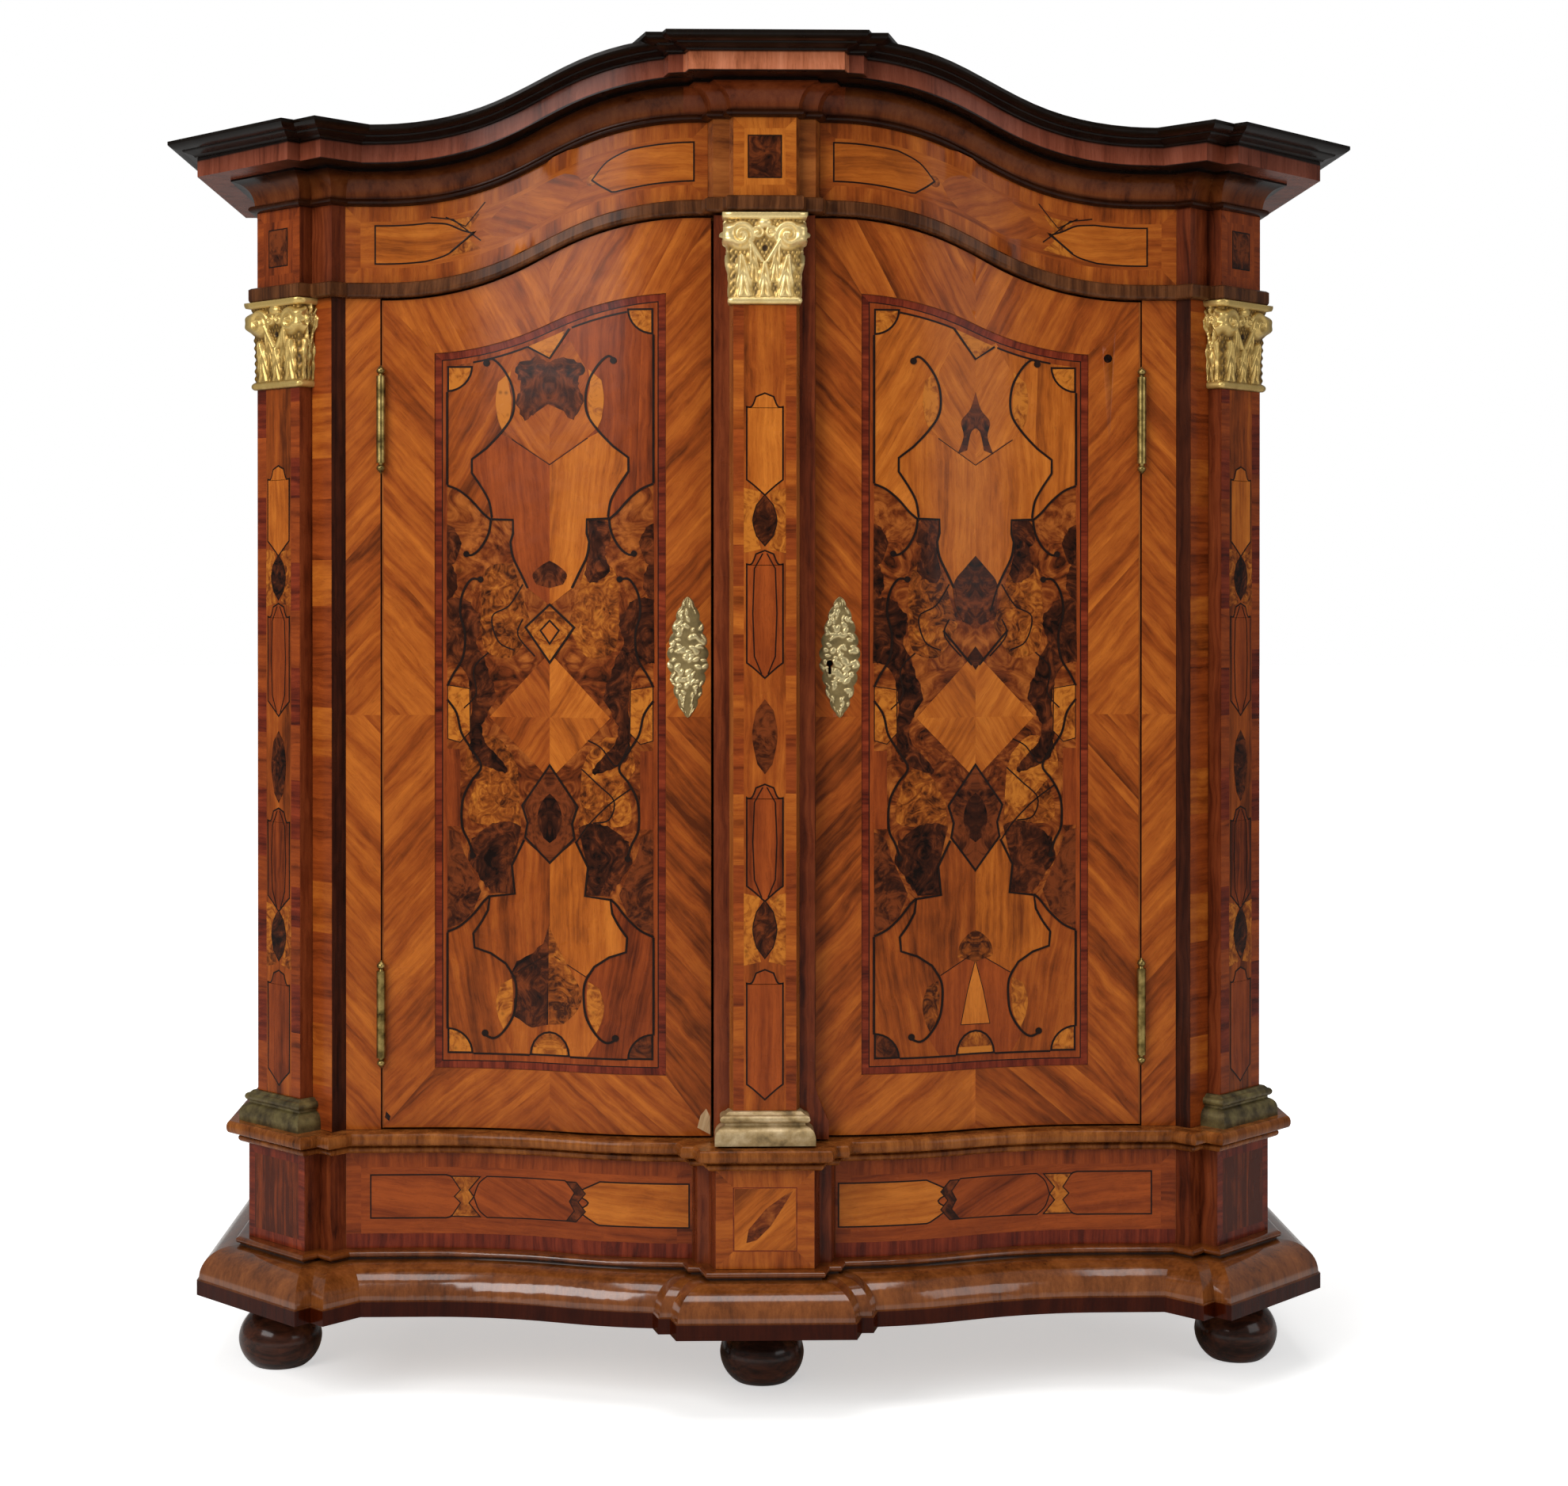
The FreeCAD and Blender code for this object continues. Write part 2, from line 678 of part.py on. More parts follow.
def inner_board(name, path, front, side, z, thickness, holes=()):
    """A board inside a ring: it keeps front behind the serpentine face and side behind the ends."""
    points = mitred([(0.0, 0.0)] + path)
    a, c, e = [(p[0] - m[0] * front, p[1] - m[1] * front) for p, m in (points[1], points[3], points[5])]
    end_x = path[-1][0] - side
    cant = c[1] - c[0]
    back = s.BodyDepth.value - s.BoardClearance.value
    right = [Vector(x, y, 0) for x, y in (a, c, (end_x, end_x + cant), (end_x, back))]
    left = [Vector(-p.x, p.y, 0) for p in right[::-1]]
    edges = front_edges(-a[0], a[0], front)
    edges += [Part.makeLine(p, q) for p, q in zip(right, right[1:])]
    edges += [Part.makeLine(right[-1], left[0])]
    edges += [Part.makeLine(p, q) for p, q in zip(left, left[1:])]
    shape = joined(edges).extrude(Vector(0, 0, thickness.value))
    shape.translate(Vector(0, 0, z.value))
    for x, y in holes:
        radius = s.FootDowelRadius.value + s.DowelClearance.value
        shape = shape.cut(Part.makeCylinder(radius, thickness.value, Vector(x, y, z.value)))
    return solid(name, shape)


FEET = {
    "foot_front_left": (-s.FootSide, s.FootFront),
    "foot_front_centre": (NOTHING, s.FootCentre),
    "foot_front_right": (s.FootSide, s.FootFront),
    "foot_rear_left": (-s.FootSide, s.FootRear),
    "foot_rear_right": (s.FootSide, s.FootRear),
}


def feet():
    """Turned bun feet, each with a dowel that enters the base board."""
    for name, (x, y) in FEET.items():
        body = doc.addObject("PartDesign::Body", name)
        waist = s.FootBunHeight / 2
        points = [
            (NOTHING, NOTHING), (s.FootTreadRadius, NOTHING), (s.FootRadius, waist),
            (s.FootNeckRadius, s.FootBunHeight), (s.FootNeckRadius, s.FootHeight),
            (s.FootDowelRadius, s.FootHeight), (s.FootDowelRadius, s.FootHeight + s.FootDowelLength),
            (NOTHING, s.FootHeight + s.FootDowelLength),
        ]
        arcs = {i: (s.FootBunHeight * share, 1) for i, share in enumerate(BUN_ARC_SHARES, start=1)}
        outline = sketch(body, name + "_outline", "XZ_Plane", points, arcs)
        turning = body.newObject("PartDesign::Revolution", name + "_turning")
        turning.Profile = outline
        turning.ReferenceAxis = (outline, ["V_Axis"])
        turning.Angle = FULL_TURN
        place(body, x, y, NOTHING)
        keep(name, body)


def carcass():
    """Boards, posts and shelves of the body."""
    holes = [(float(x), float(y)) for x, y in FEET.values()]
    base = s.BaseRailThickness.value + s.BoardClearance.value
    rail = s.RailThickness.value + s.BoardClearance.value
    front = s.BoardSetback.value
    thin = s.BoardThickness.value + s.BoardClearance.value
    inner_board("base_board", PLINTH_PATH, base, base, BASE_Z, s.BaseBoardThickness, holes)
    inner_board("floor_board", PLINTH_PATH, front, rail, BODY_Z - s.FloorThickness, s.FloorThickness)
    inner_board("top_board", BODY_PATH, front, thin, CORNICE_Z - s.TopDrop, s.TopThickness)
    half = s.StileEdge + s.ReturnLeg + s.CantLeg + s.PilasterLeg + s.FaceLeg
    corner_y = -s.ReturnLeg + s.CantLeg - s.PilasterLeg + s.FaceLeg
    inner = half - s.SideThickness
    side = [(half, corner_y), (half, s.BodyDepth), (inner, s.BodyDepth), (inner, corner_y + s.SideThickness)]
    for name, sign in (("side_panel_right", 1), ("side_panel_left", -1)):
        body = padded(name, "XY_Plane", [(x * sign, y) for x, y in side], s.BodyHeight)
        place(body, NOTHING, NOTHING, BODY_Z)
    board("back_panel", -(half - s.BackEdge), half - s.BackEdge, s.BodyDepth, s.BodyDepth + s.BackThickness,
          BASE_Z, s.BackRise)
    shelf_half = inner - s.ShelfClearance
    for name, level in (("shelf_lower", s.LowerShelf), ("shelf_upper", s.UpperShelf)):
        board(name, -shelf_half, shelf_half, s.ShelfFront + s.FaceLeg, s.BodyDepth - s.BoardClearance,
              level, s.ShelfThickness)
    battens = []
    for level in (s.LowerShelf, s.UpperShelf):
        for sign in (1, -1):
            length = s.BodyDepth.value - s.FaceLeg.value - s.ShelfFront.value - s.BattenHeight.value
            x = inner.value - s.BattenThickness.value if sign > 0 else -inner.value
            corner = Vector(x, s.BodyDepth.value - length, level.value - s.BattenHeight.value)
            battens.append(Part.makeBox(s.BattenThickness.value, length, s.BattenHeight.value, corner))
    solid("shelf_battens", Part.makeCompound(battens))


def corner_posts():
    """Stile, return and canted board of each front corner, let in for the hinge leaves."""
    a, b, c = BODY_PATH[:3]
    e = BODY_PATH[4]
    inner = e[0] - s.SideThickness.value
    thick = s.PostThickness.value
    edge = s.DoorHinge.value + s.HingeGap.value
    seat = (e[0] - s.PilasterLeg.value, e[1] + s.PilasterLeg.value)
    touch = e[1] + e[0] - inner
    slope = b[0] - b[1] - thick * math.sqrt(2)
    outline = [(edge, 0), a, b, c, seat, (inner, touch), (inner, inner - slope), (thick + slope, thick),
               (edge, thick)]
    post = polygon([Vector(x, y, 0) for x, y in outline]).extrude(Vector(0, 0, s.BodyHeight.value))
    post.translate(Vector(0, 0, BODY_Z.value))
    for level in (s.HingeLow, s.HingeHigh):
        post = post.cut(leaf(level.value - s.BarrelHalf.value, edge, 0.0))
    solid("corner_post_right", post)
    solid("corner_post_left", mirrored(post))


def leaf(z, x, front):
    """One leaf of a hinge: a plate of half the hinge's length that starts at x and goes back."""
    depth = s.LeafDepth.value - front
    return Part.makeBox(s.LeafThickness.value, depth, s.BarrelHalf.value - s.KnuckleGap.value,
                        Vector(x, front, z))


def stump(shares, half, depth, overhang, level, height):
    """A moulded block in front of a backing: its face is at y = 0 and the backing at y = depth."""
    path = [(-half, depth), (-half, 0.0), (half, 0.0), (half, depth)]
    return moulded_block(profile(shares, overhang, height, level, 0.0), path, 0.0)


def corner_placement(shape):
    """Move a block made about its own face onto the right canted pilaster."""
    d, e = BODY_PATH[3], BODY_PATH[4]
    shape.rotate(Vector(0, 0, 0), Vector(0, 0, 1), CORNER_ANGLE)
    shape.translate(Vector((d[0] + e[0]) / 2, (d[1] + e[1]) / 2, 0))
    return shape


def corner_pilasters():
    """Canted pilasters with gilded capitals and bases on the body's front corners."""
    half = s.FaceLeg.value / math.sqrt(2)
    depth = s.PilasterLeg.value * math.sqrt(2)
    base_z = BODY_Z + s.PilasterBaseHeight
    capital_z = ARCHITRAVE_Z - s.CapitalHeight
    high = capital_z.value
    x, y = s.StileEdge + s.ReturnLeg + s.CantLeg, s.CantLeg - s.ReturnLeg
    out_x, out_y = x + s.PilasterLeg + s.FaceLeg, y - s.PilasterLeg + s.FaceLeg
    outline = [(x, y), (x + s.PilasterLeg, y - s.PilasterLeg), (out_x, out_y),
               (out_x - s.PilasterLeg, out_y + s.PilasterLeg)]
    for name, sign in (("corner_pilaster_right", 1), ("corner_pilaster_left", -1)):
        body = padded(name, "XY_Plane", [(px * sign, py) for px, py in outline], capital_z - base_z)
        place(body, NOTHING, NOTHING, base_z)
    c, e, back = BODY_PATH[2], BODY_PATH[4], BODY_PATH[5]
    g = (float(outline[3][0]), float(outline[3][1]))
    behind = polygon([Vector(x, y, BODY_Z.value) for x, y in (c, g, e, (e[0], back[1]), (c[0], back[1]))])
    behind = behind.extrude(Vector(0, 0, s.BodyHeight.value))
    for name, shares, overhang, level, height in (
            ("corner_capital", CAPITAL_SHARES, s.CapitalOverhang, high, s.CapitalHeight),
            ("corner_base", PILASTER_BASE_SHARES, s.CornerBaseOverhang, BODY_Z.value, s.PilasterBaseHeight)):
        block = corner_placement(stump(shares, half, depth, overhang.value, level, height.value))
        block = block.cut(behind)
        solid(name + "_right", block)
        solid(name + "_left", mirrored(block))


# Doors


def door_member(outline, front=0.0, thickness=None):
    """Part of a door: an outline in elevation, cut from the serpentine slab."""
    deep = thickness or s.DoorThickness.value
    reach = s.StileEdge.value
    slab = joined(front_edges(-reach, reach, front) + front_edges(reach, -reach, front + deep))
    slab = slab.extrude(Vector(0, 0, TOP_Z.value))
    far = s.BodyDepth.value
    face = outline.extrude(Vector(0, 2 * far, 0))
    face.translate(Vector(0, -far, 0))
    return slab.common(face)


def elevation(points):
    return polygon([Vector(x, 0, z) for x, z in points])


def door_frame():
    """The four members and the panel of the right door, mitred at the panel's corners."""
    hinge, meet = s.DoorHinge.value, s.MeetingEdge.value
    outer, inner = s.PanelOuter.value, s.PanelInner.value
    low, high, foot, head = DOOR_Z.value, DOOR_TOP_Z.value, PANEL_Z.value, PANEL_TOP_Z.value
    top = joined(arch_edges(hinge, meet, high) + panel_edges(inner, outer, head))
    bottom = elevation([(hinge, low), (meet, low), (inner, foot), (outer, foot)])
    hanging = elevation([(hinge, low), (hinge, high), (outer, head + panel_z(outer)), (outer, foot)])
    closing = elevation([(meet, low), (meet, high + arch_z(meet)), (inner, head + panel_z(inner)),
                         (inner, foot)])
    field = joined(panel_edges(inner, outer, head) + [Part.makeLine(Vector(outer, 0, foot),
                                                                    Vector(inner, 0, foot))])
    return {
        "top_rail": door_member(top),
        "bottom_rail": door_member(bottom),
        "hinge_stile": door_member(hanging),
        "meeting_stile": door_member(closing),
        "panel": door_member(field, s.PanelRecess.value, s.PanelThickness.value),
    }


def doors():
    members = door_frame()
    for level in (s.HingeLow, s.HingeHigh):
        edge = s.DoorHinge.value - s.LeafThickness.value
        members["hinge_stile"] = members["hinge_stile"].cut(leaf(level.value + s.KnuckleGap.value, edge, 0.0))
    for name, shape in members.items():
        solid("left_door_" + name, mirrored(shape))
    low, high = DOOR_Z.value, DOOR_TOP_Z.value + s.ArchRise.value
    left = s.MeetingGap.value - s.MeetingEdge.value
    middle = elevation([(left, low), (s.MeetingEdge.value, low), (s.MeetingEdge.value, high), (left, high)])
    closing = members["meeting_stile"].fuse(door_member(middle)).removeSplitter()
    members["meeting_stile"] = closing.cut(keyhole(-s.Bulge.value - s.CutOverrun.value))
    for name, shape in members.items():
        solid("right_door_" + name, shape)


def keyhole(y):
    """A round hole with a slot under it, through the stile or the plate."""
    depth = s.DoorThickness.value + 2 * s.CutOverrun.value
    x, z = s.KeyholeX.value, s.LockHeight.value
    hole = Part.makeCylinder(s.KeyholeRadius.value, depth, Vector(x, y, z), Vector(0, 1, 0))
    slot = Part.makeBox(s.KeySlot.value, depth, s.KeyholeDrop.value,
                        Vector(x - s.KeySlot.value / 2, y, z - s.KeyholeDrop.value))
    return hole.fuse(slot)


def centre_pilaster():
    """Backing strip, pilaster, capital and base that ride on the right door."""
    low, high = DOOR_Z.value, DOOR_TOP_Z.value + s.ArchRise.value
    edge = s.MeetingEdge.value - s.MeetingGap.value
    flare = edge + s.StripFlare.value
    rise = low + s.StripFlareHeight.value
    toe = low + s.StripFlareHeight.value * TOE_SHARE
    curve = Part.BSplineCurve()
    curve.interpolate([Vector(edge, 0, rise), Vector((edge + flare) / 2, 0, (rise + toe) / 2 - s.DoorGap.value),
                       Vector(flare, 0, toe)])
    outline = [Part.makeLine(Vector(-edge, 0, low), Vector(-edge, 0, high)),
               Part.makeLine(Vector(-edge, 0, high), Vector(edge, 0, high)),
               Part.makeLine(Vector(edge, 0, high), Vector(edge, 0, rise)),
               curve.toShape(),
               Part.makeLine(Vector(flare, 0, toe), Vector(flare, 0, low)),
               Part.makeLine(Vector(flare, 0, low), Vector(-edge, 0, low))]
    strip = Part.Face(Part.Wire(outline)).extrude(Vector(0, s.BackingProud.value, 0))
    strip.translate(Vector(0, BACKING_Y.value, 0))
    solid("door_backing_strip", strip)
    half, proud = s.PilasterHalf.value, s.PilasterProud.value
    foot, head = DOOR_Z + s.PilasterBaseHeight, DOOR_TOP_Z + s.ArchRise - s.CapitalHeight
    top = head.value
    slant = s.PilasterProud / math.tan(math.radians(SPLAY_ANGLE))
    shaft = padded("door_pilaster", "XY_Plane", [
        (-s.PilasterHalf - slant, BACKING_Y), (-s.PilasterHalf, PILASTER_Y), (s.PilasterHalf, PILASTER_Y),
        (s.PilasterHalf + slant, BACKING_Y)], head - foot)
    place(shaft, NOTHING, NOTHING, foot)
    for name, shares, overhang, level, height in (
            ("door_capital", CAPITAL_SHARES, s.CapitalOverhang, top, s.CapitalHeight),
            ("door_pilaster_base", PILASTER_BASE_SHARES, s.PilasterBaseOverhang, low, s.PilasterBaseHeight)):
        block = stump(shares, half, proud, overhang.value, level, height.value)
        block.translate(Vector(0, PILASTER_Y.value, 0))
        solid(name, block)


# Hinges, lock, bolts and plates


def hinge_half(z, leaf_x, upward):
    """Half a hinge about its own pin: barrel, turned finial and leaf, and the pin on the lower half."""
    r, length, tip = s.BarrelRadius.value, s.BarrelHalf.value, s.FinialLength.value
    start = s.KnuckleGap.value if upward else 0.0
    neck = [Vector(r * share, 0, length + up * tip) for share, up in FINIAL_SHARES]
    points = [Vector(0, 0, start), Vector(r, 0, start), Vector(r, 0, length)] + neck
    ball = Part.BSplineCurve()
    ball.interpolate([neck[-1]] + [Vector(r * share, 0, length + up * tip) for share, up in BALL_SHARES])
    edges = [Part.makeLine(a, b) for a, b in zip(points, points[1:])]
    edges += [ball.toShape(), Part.makeLine(Vector(0, 0, length + tip), points[0])]
    barrel = Part.Face(Part.Wire(edges)).revolve(Vector(0, 0, 0), Vector(0, 0, 1), FULL_TURN)
    if not upward:
        barrel = barrel.mirror(Vector(0, 0, 0), Vector(0, 0, 1))
        pin = Part.makeCylinder(s.PinRadius.value, length / 2 + s.PinReach.value, Vector(0, 0, -length / 2))
        barrel = barrel.fuse(pin)
    barrel.translate(Vector(s.DoorHinge.value + s.HingeGap.value / 2, -s.BarrelProud.value, z))
    low = z + s.KnuckleGap.value if upward else z - length
    plate = leaf(low, leaf_x, -s.BarrelProud.value)
    half = barrel.fuse(plate)
    if upward:
        bore = Part.makeCylinder(s.PinRadius.value + s.PinClearance.value, s.PinReach.value + s.CutOverrun.value,
                                 Vector(s.DoorHinge.value + s.HingeGap.value / 2, -s.BarrelProud.value, z))
        half = half.cut(bore)
    return half


def hinges():
    fixed, moving = [], []
    for level in (s.HingeLow.value, s.HingeHigh.value):
        fixed.append(hinge_half(level, s.DoorHinge.value + s.HingeGap.value, False))
        moving.append(hinge_half(level, s.DoorHinge.value - s.LeafThickness.value, True))
    solid("frame_hinges_right", Part.makeCompound(fixed))
    solid("frame_hinges_left", mirrored(Part.makeCompound(fixed)))
    solid("door_hinges_right", Part.makeCompound(moving))
    solid("door_hinges_left", mirrored(Part.makeCompound(moving)))


def key_plate(side):
    """Scrolled plate round a keyhole, bent to the door's front."""
    half_width, half_height = s.PlateHalfWidth.value, s.PlateHalfHeight.value
    right = [Vector(x * half_width, 0, z * half_height) for x, z in KEY_PLATE_SHARES]
    curve = Part.BSplineCurve()
    curve.interpolate(right)
    plate = Part.Face(Part.Wire([curve.toShape(), mirrored(curve.toShape())]))
    plate.translate(Vector(side * s.PlateX.value, 0, s.PlateHeight.value))
    return door_member(plate, -s.PlateThickness.value, s.PlateThickness.value)


def lock_and_bolts():
    solid("left_escutcheon", key_plate(-1))
    plate = key_plate(1).cut(keyhole(-s.Bulge.value - s.PlateThickness.value - s.CutOverrun.value))
    solid("right_escutcheon", plate)
    wall = s.LockWall.value
    left, right = s.LockLeft.value, s.LockRight.value
    half = s.LockHalfHeight.value
    back = BOLT_Y.value
    case = Part.makeBox(right - left, s.LockDepth.value, 2 * half, Vector(left, back, s.LockHeight.value - half))
    hollow = Part.makeBox(right - left - 2 * wall, s.LockDepth.value - wall, 2 * (half - wall),
                          Vector(left + wall, back, s.LockHeight.value - half + wall))
    bolt_y = back + (s.LockDepth.value - s.LockBoltDepth.value) / 2
    clear = s.LockBoltClearance.value
    slot = Part.makeBox(wall + 2 * s.CutOverrun.value, s.LockBoltDepth.value + 2 * clear,
                        s.LockBoltHeight.value + 2 * clear,
                        Vector(left - s.CutOverrun.value, bolt_y - clear,
                               s.LockHeight.value - s.LockBoltHeight.value / 2 - clear))
    solid("lock_case", case.cut(hollow).cut(slot))
    start = s.LockLeft - s.BoltInset
    front = BOLT_Y + (s.LockDepth - s.LockBoltDepth) / 2
    board("lock_bolt", start, start + s.LockBoltLength, front, front + s.LockBoltDepth,
          s.LockHeight - s.LockBoltHeight / 2, s.LockBoltHeight)
    solid("lock_keeper", keeper(bolt_y))
    top = DOOR_TOP_Z.value + s.ArchRise.value - s.BoltInset.value
    low = DOOR_Z.value + s.BoltInset.value
    guides = []
    for name, start, sign in (("top_bolt", top, -1), ("bottom_bolt", low, 1)):
        z = min(start, start + sign * s.BoltLength.value)
        front = back + s.BoltGap.value
        bar = Part.makeBox(s.BoltWidth.value, s.BoltDepth.value, s.BoltLength.value,
                           Vector(-s.BoltX.value - s.BoltWidth.value / 2, front, z))
        knob = Part.makeCylinder(s.KnobRadius.value, s.KnobLength.value + s.BoltDepth.value,
                                 Vector(-s.BoltX.value, front, start + sign * s.BoltLength.value / 2),
                                 Vector(0, 1, 0))
        solid(name, bar.fuse(knob))
        for inset in (s.GuideInset.value, s.BoltLength.value - s.GuideInset.value):
            guides.append(bolt_guide(start + sign * inset))
    solid("bolt_guides", Part.makeCompound(guides))


def keeper(bolt_y):
    """The staple on the left door's back that the lock's bolt enters."""
    wall, clear = s.GuideWall.value, s.BoltClearance.value
    y, z = BOLT_Y.value, s.LockHeight.value
    right = -s.MeetingEdge.value - s.MeetingGap.value
    deep = bolt_y + s.LockBoltDepth.value + clear - y
    half = s.LockBoltHeight.value / 2 + clear
    bridge = Part.makeBox(s.KeeperWidth.value, deep + wall, 2 * (half + wall),
                          Vector(right - s.KeeperWidth.value, y, z - half - wall))
    tunnel = Part.makeBox(s.KeeperWidth.value, deep, 2 * half, Vector(right - s.KeeperWidth.value, y, z - half))
    foot = Part.makeBox(s.KeeperWidth.value, wall, 2 * (half + s.KeeperFoot.value),
                        Vector(right - s.KeeperWidth.value, y, z - half - s.KeeperFoot.value))
    return bridge.fuse(foot).cut(tunnel)


def bolt_guide(z):
    """A staple that holds a bolt against the door's back."""
    wall, clear = s.GuideWall.value, s.BoltClearance.value
    width, deep = s.BoltWidth.value + 2 * clear, s.BoltDepth.value + 2 * clear
    stand = s.BoltGap.value - clear
    x, y = -s.BoltX.value, BOLT_Y.value
    low = z - s.GuideHeight.value / 2
    bridge = Part.makeBox(width + 2 * wall, stand + deep + wall, s.GuideHeight.value,
                          Vector(x - width / 2 - wall, y, low))
    foot = Part.makeBox(s.GuideWidth.value, wall, s.GuideHeight.value, Vector(x - s.GuideWidth.value / 2, y, low))
    tunnel = Part.makeBox(width, deep, s.GuideHeight.value, Vector(x - width / 2, y + stand, low))
    return bridge.fuse(foot).cut(tunnel)


def check_and_export():
    doc.recompute()
    for item in doc.Objects:
        if "Invalid" in item.State or "Error" in item.State:
            raise RuntimeError("%s did not build: %s" % (item.Name, item.State))
    for name, feature in parts.items():
        if feature.Shape.isNull() or not feature.Shape.isValid():
            raise RuntimeError("%s has no valid shape" % name)
    os.makedirs("parts", exist_ok=True)
    for name, feature in parts.items():
        feature.Shape.exportStep("parts/%s.step" % name)
        print("%-28s %d solid(s) %.0f cm3" % (name, len(feature.Shape.Solids), feature.Shape.Volume / 1000))


feet()
base_and_plinth()
carcass()
corner_posts()
corner_pilasters()
architrave_and_frieze()
cornice()
doors()
centre_pilaster()
hinges()
lock_and_bolts()
check_and_export()
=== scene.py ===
import math
import random

import bmesh
import bpy
from bpy.props import FloatProperty, FloatVectorProperty, IntProperty, PointerProperty
from bpy.types import Operator, Panel, PropertyGroup
from mathutils import Matrix, Vector
from mathutils.bvhtree import BVHTree


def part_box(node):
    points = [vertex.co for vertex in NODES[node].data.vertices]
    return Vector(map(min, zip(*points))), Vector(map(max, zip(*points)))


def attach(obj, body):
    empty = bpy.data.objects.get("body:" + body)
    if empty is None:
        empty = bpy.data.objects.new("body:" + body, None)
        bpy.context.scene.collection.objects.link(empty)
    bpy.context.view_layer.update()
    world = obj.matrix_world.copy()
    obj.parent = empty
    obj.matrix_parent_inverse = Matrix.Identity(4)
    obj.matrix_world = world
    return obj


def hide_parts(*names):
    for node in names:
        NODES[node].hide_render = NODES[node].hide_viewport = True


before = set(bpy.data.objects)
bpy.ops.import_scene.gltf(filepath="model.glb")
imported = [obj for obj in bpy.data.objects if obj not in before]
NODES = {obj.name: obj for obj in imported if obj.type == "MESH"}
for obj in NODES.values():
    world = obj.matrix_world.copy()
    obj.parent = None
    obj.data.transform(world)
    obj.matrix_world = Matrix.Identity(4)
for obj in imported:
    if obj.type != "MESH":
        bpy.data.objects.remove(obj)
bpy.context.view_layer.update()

bl_info = {
    "name": "Hall cupboard finishes",
    "version": (1, 0, 0),
    "blender": (4, 5, 0),
    "location": "View3D > Sidebar > Cupboard",
    "description": "Veneers, inlay, carving and fittings for a serpentine hall cupboard",
    "category": "Object",
}

MM = 0.001


def reach(name, axis):
    """The lowest and the highest place of a solid along an axis, in millimetres."""
    return [round(corner[axis] / MM, 1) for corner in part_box(name)]


def middle_and_half(name, axis):
    low, high = reach(name, axis)
    return (low + high) / 2, (high - low) / 2


# Plan of the front in millimetres, out from the middle, and its levels, read from the solids that show them.
FACE_Y, SEAM = -129.0, 0.6
STILE_EDGE = reach("frieze_side_right", 0)[0]
DOOR_HINGE, STRIP_EDGE = 613.0, 81.0
MEETING_EDGE = -reach("left_door_meeting_stile", 0)[1]
PANEL_INNER, PANEL_OUTER = reach("right_door_panel", 0)
PANEL_AXIS = (PANEL_OUTER + PANEL_INNER) / 2
BASE_Z, PLINTH_Z = reach("base_moulding", 2)
PLINTH_TOP, BODY_Z = reach("plinth_moulding", 2)
ARCHITRAVE_Z, ARCHITRAVE_TOP = reach("architrave", 2)
FRIEZE_Z, CORNICE_Z = reach("frieze_side_right", 2)
DOOR_Z, DOOR_TOP = reach("right_door_hinge_stile", 2)
PANEL_Z, PANEL_TOP = reach("right_door_panel", 2)[0], 1668.5
CHEVRON_Z = 1085.0
# An arch begins and ends its curve so far out from the middle, and has this rise.
ARCH = (612.0, 105.0, ARCHITRAVE_TOP - FRIEZE_Z)
PANEL_ARCH = (560.0, 130.0, 91.0)
CORNICE_TOP = reach("cornice", 2)[1] - ARCH[2]
# Half width of the panel's field inside its border, and the size of the quarter rounds in its corners.
PANEL_EDGE, CORNER = 167.0, 42.0
CAPITAL_HEIGHT, GILT_BASE_HEIGHT = (high - low for low, high in (reach("door_capital", 2),
                                                                 reach("door_pilaster_base", 2)))

# Where the veneers of the stiles, the frieze and the plinth begin, out from the middle.
STILE_START, FRIEZE_START, PLINTH_START = reach("corner_post_right", 0)[0] + SEAM, 89.5, 114.6
# Half widths of the veneers on the middle blocks and on the canted faces, and of the cornice's block.
FRIEZE_BLOCK, PLINTH_BLOCK, CANT_HALF, CORNICE_BLOCK = 49.4, 77.4, 57.5, 128.0
# How far a rail laps its panel's edge, and the gap round the panel's own veneer.
FRAME_LAP, PANEL_GAP = 0.2, 0.4

# The capitals' blocks: half the middle one's width, how deep they go, and half the width of the carving.
CAPITAL_FACE_Y = reach("door_pilaster", 1)[0]
CAPITAL_HALF, CAPITAL_DEPTH, CORNER_CAPITAL_DEPTH, CARVING_HALF = 51.0, 20.0, 30.0, 52.0
PLATE_X, PLATE_HALF_WIDTH = middle_and_half("right_escutcheon", 0)
PLATE_Z, PLATE_HALF_HEIGHT = middle_and_half("right_escutcheon", 2)
KEYHOLE_X, KEYHOLE_Z, KEYHOLE_RADIUS, KEYHOLE_WIDTH, KEYHOLE_DROP = 105.0, 1170.0, 5.0, 4.0, 17.0
PLATE_GRID, PLATE_MOUNDS, MOUND_HEIGHT, PLATE_DEPTH = (64, 176), 120, 2.4, 4.2
# Grid of the carving across and up, and the depth at which it counts as a crest, in millimetres.
RELIEF_GRID, CREST = (1.25, 1.45), 9.0

SIDES = ((-1, "left"), (1, "right"))
# Canted faces, out from the middle and back from FACE_Y: their middles at the pilasters and at the plinth,
# the ends of the narrow strips beside them and of the corner capitals' faces.
CANT_MIDDLE, PLINTH_CANT_MIDDLE = (788.0, 42.0), (791.0, 35.0)
CANTED_STRIP = ((693.0, -19.0), (730.0, 18.0))
CORNER_CAPITAL = ((747.0, 1.0), (829.0, 83.0))
PLINTH_CANT_RUN = 108.0
# The veneered field of the sides, from front to back, and the width of its border.
SIDE_FRONT, SIDE_BACK, SIDE_BORDER = -45.0, 375.0, 60.0
# Planes before the front and beside the sides, from which drawings are set on the solids.
DRAWING_Y, DRAWING_X = FACE_Y - 200.0, 1100.0

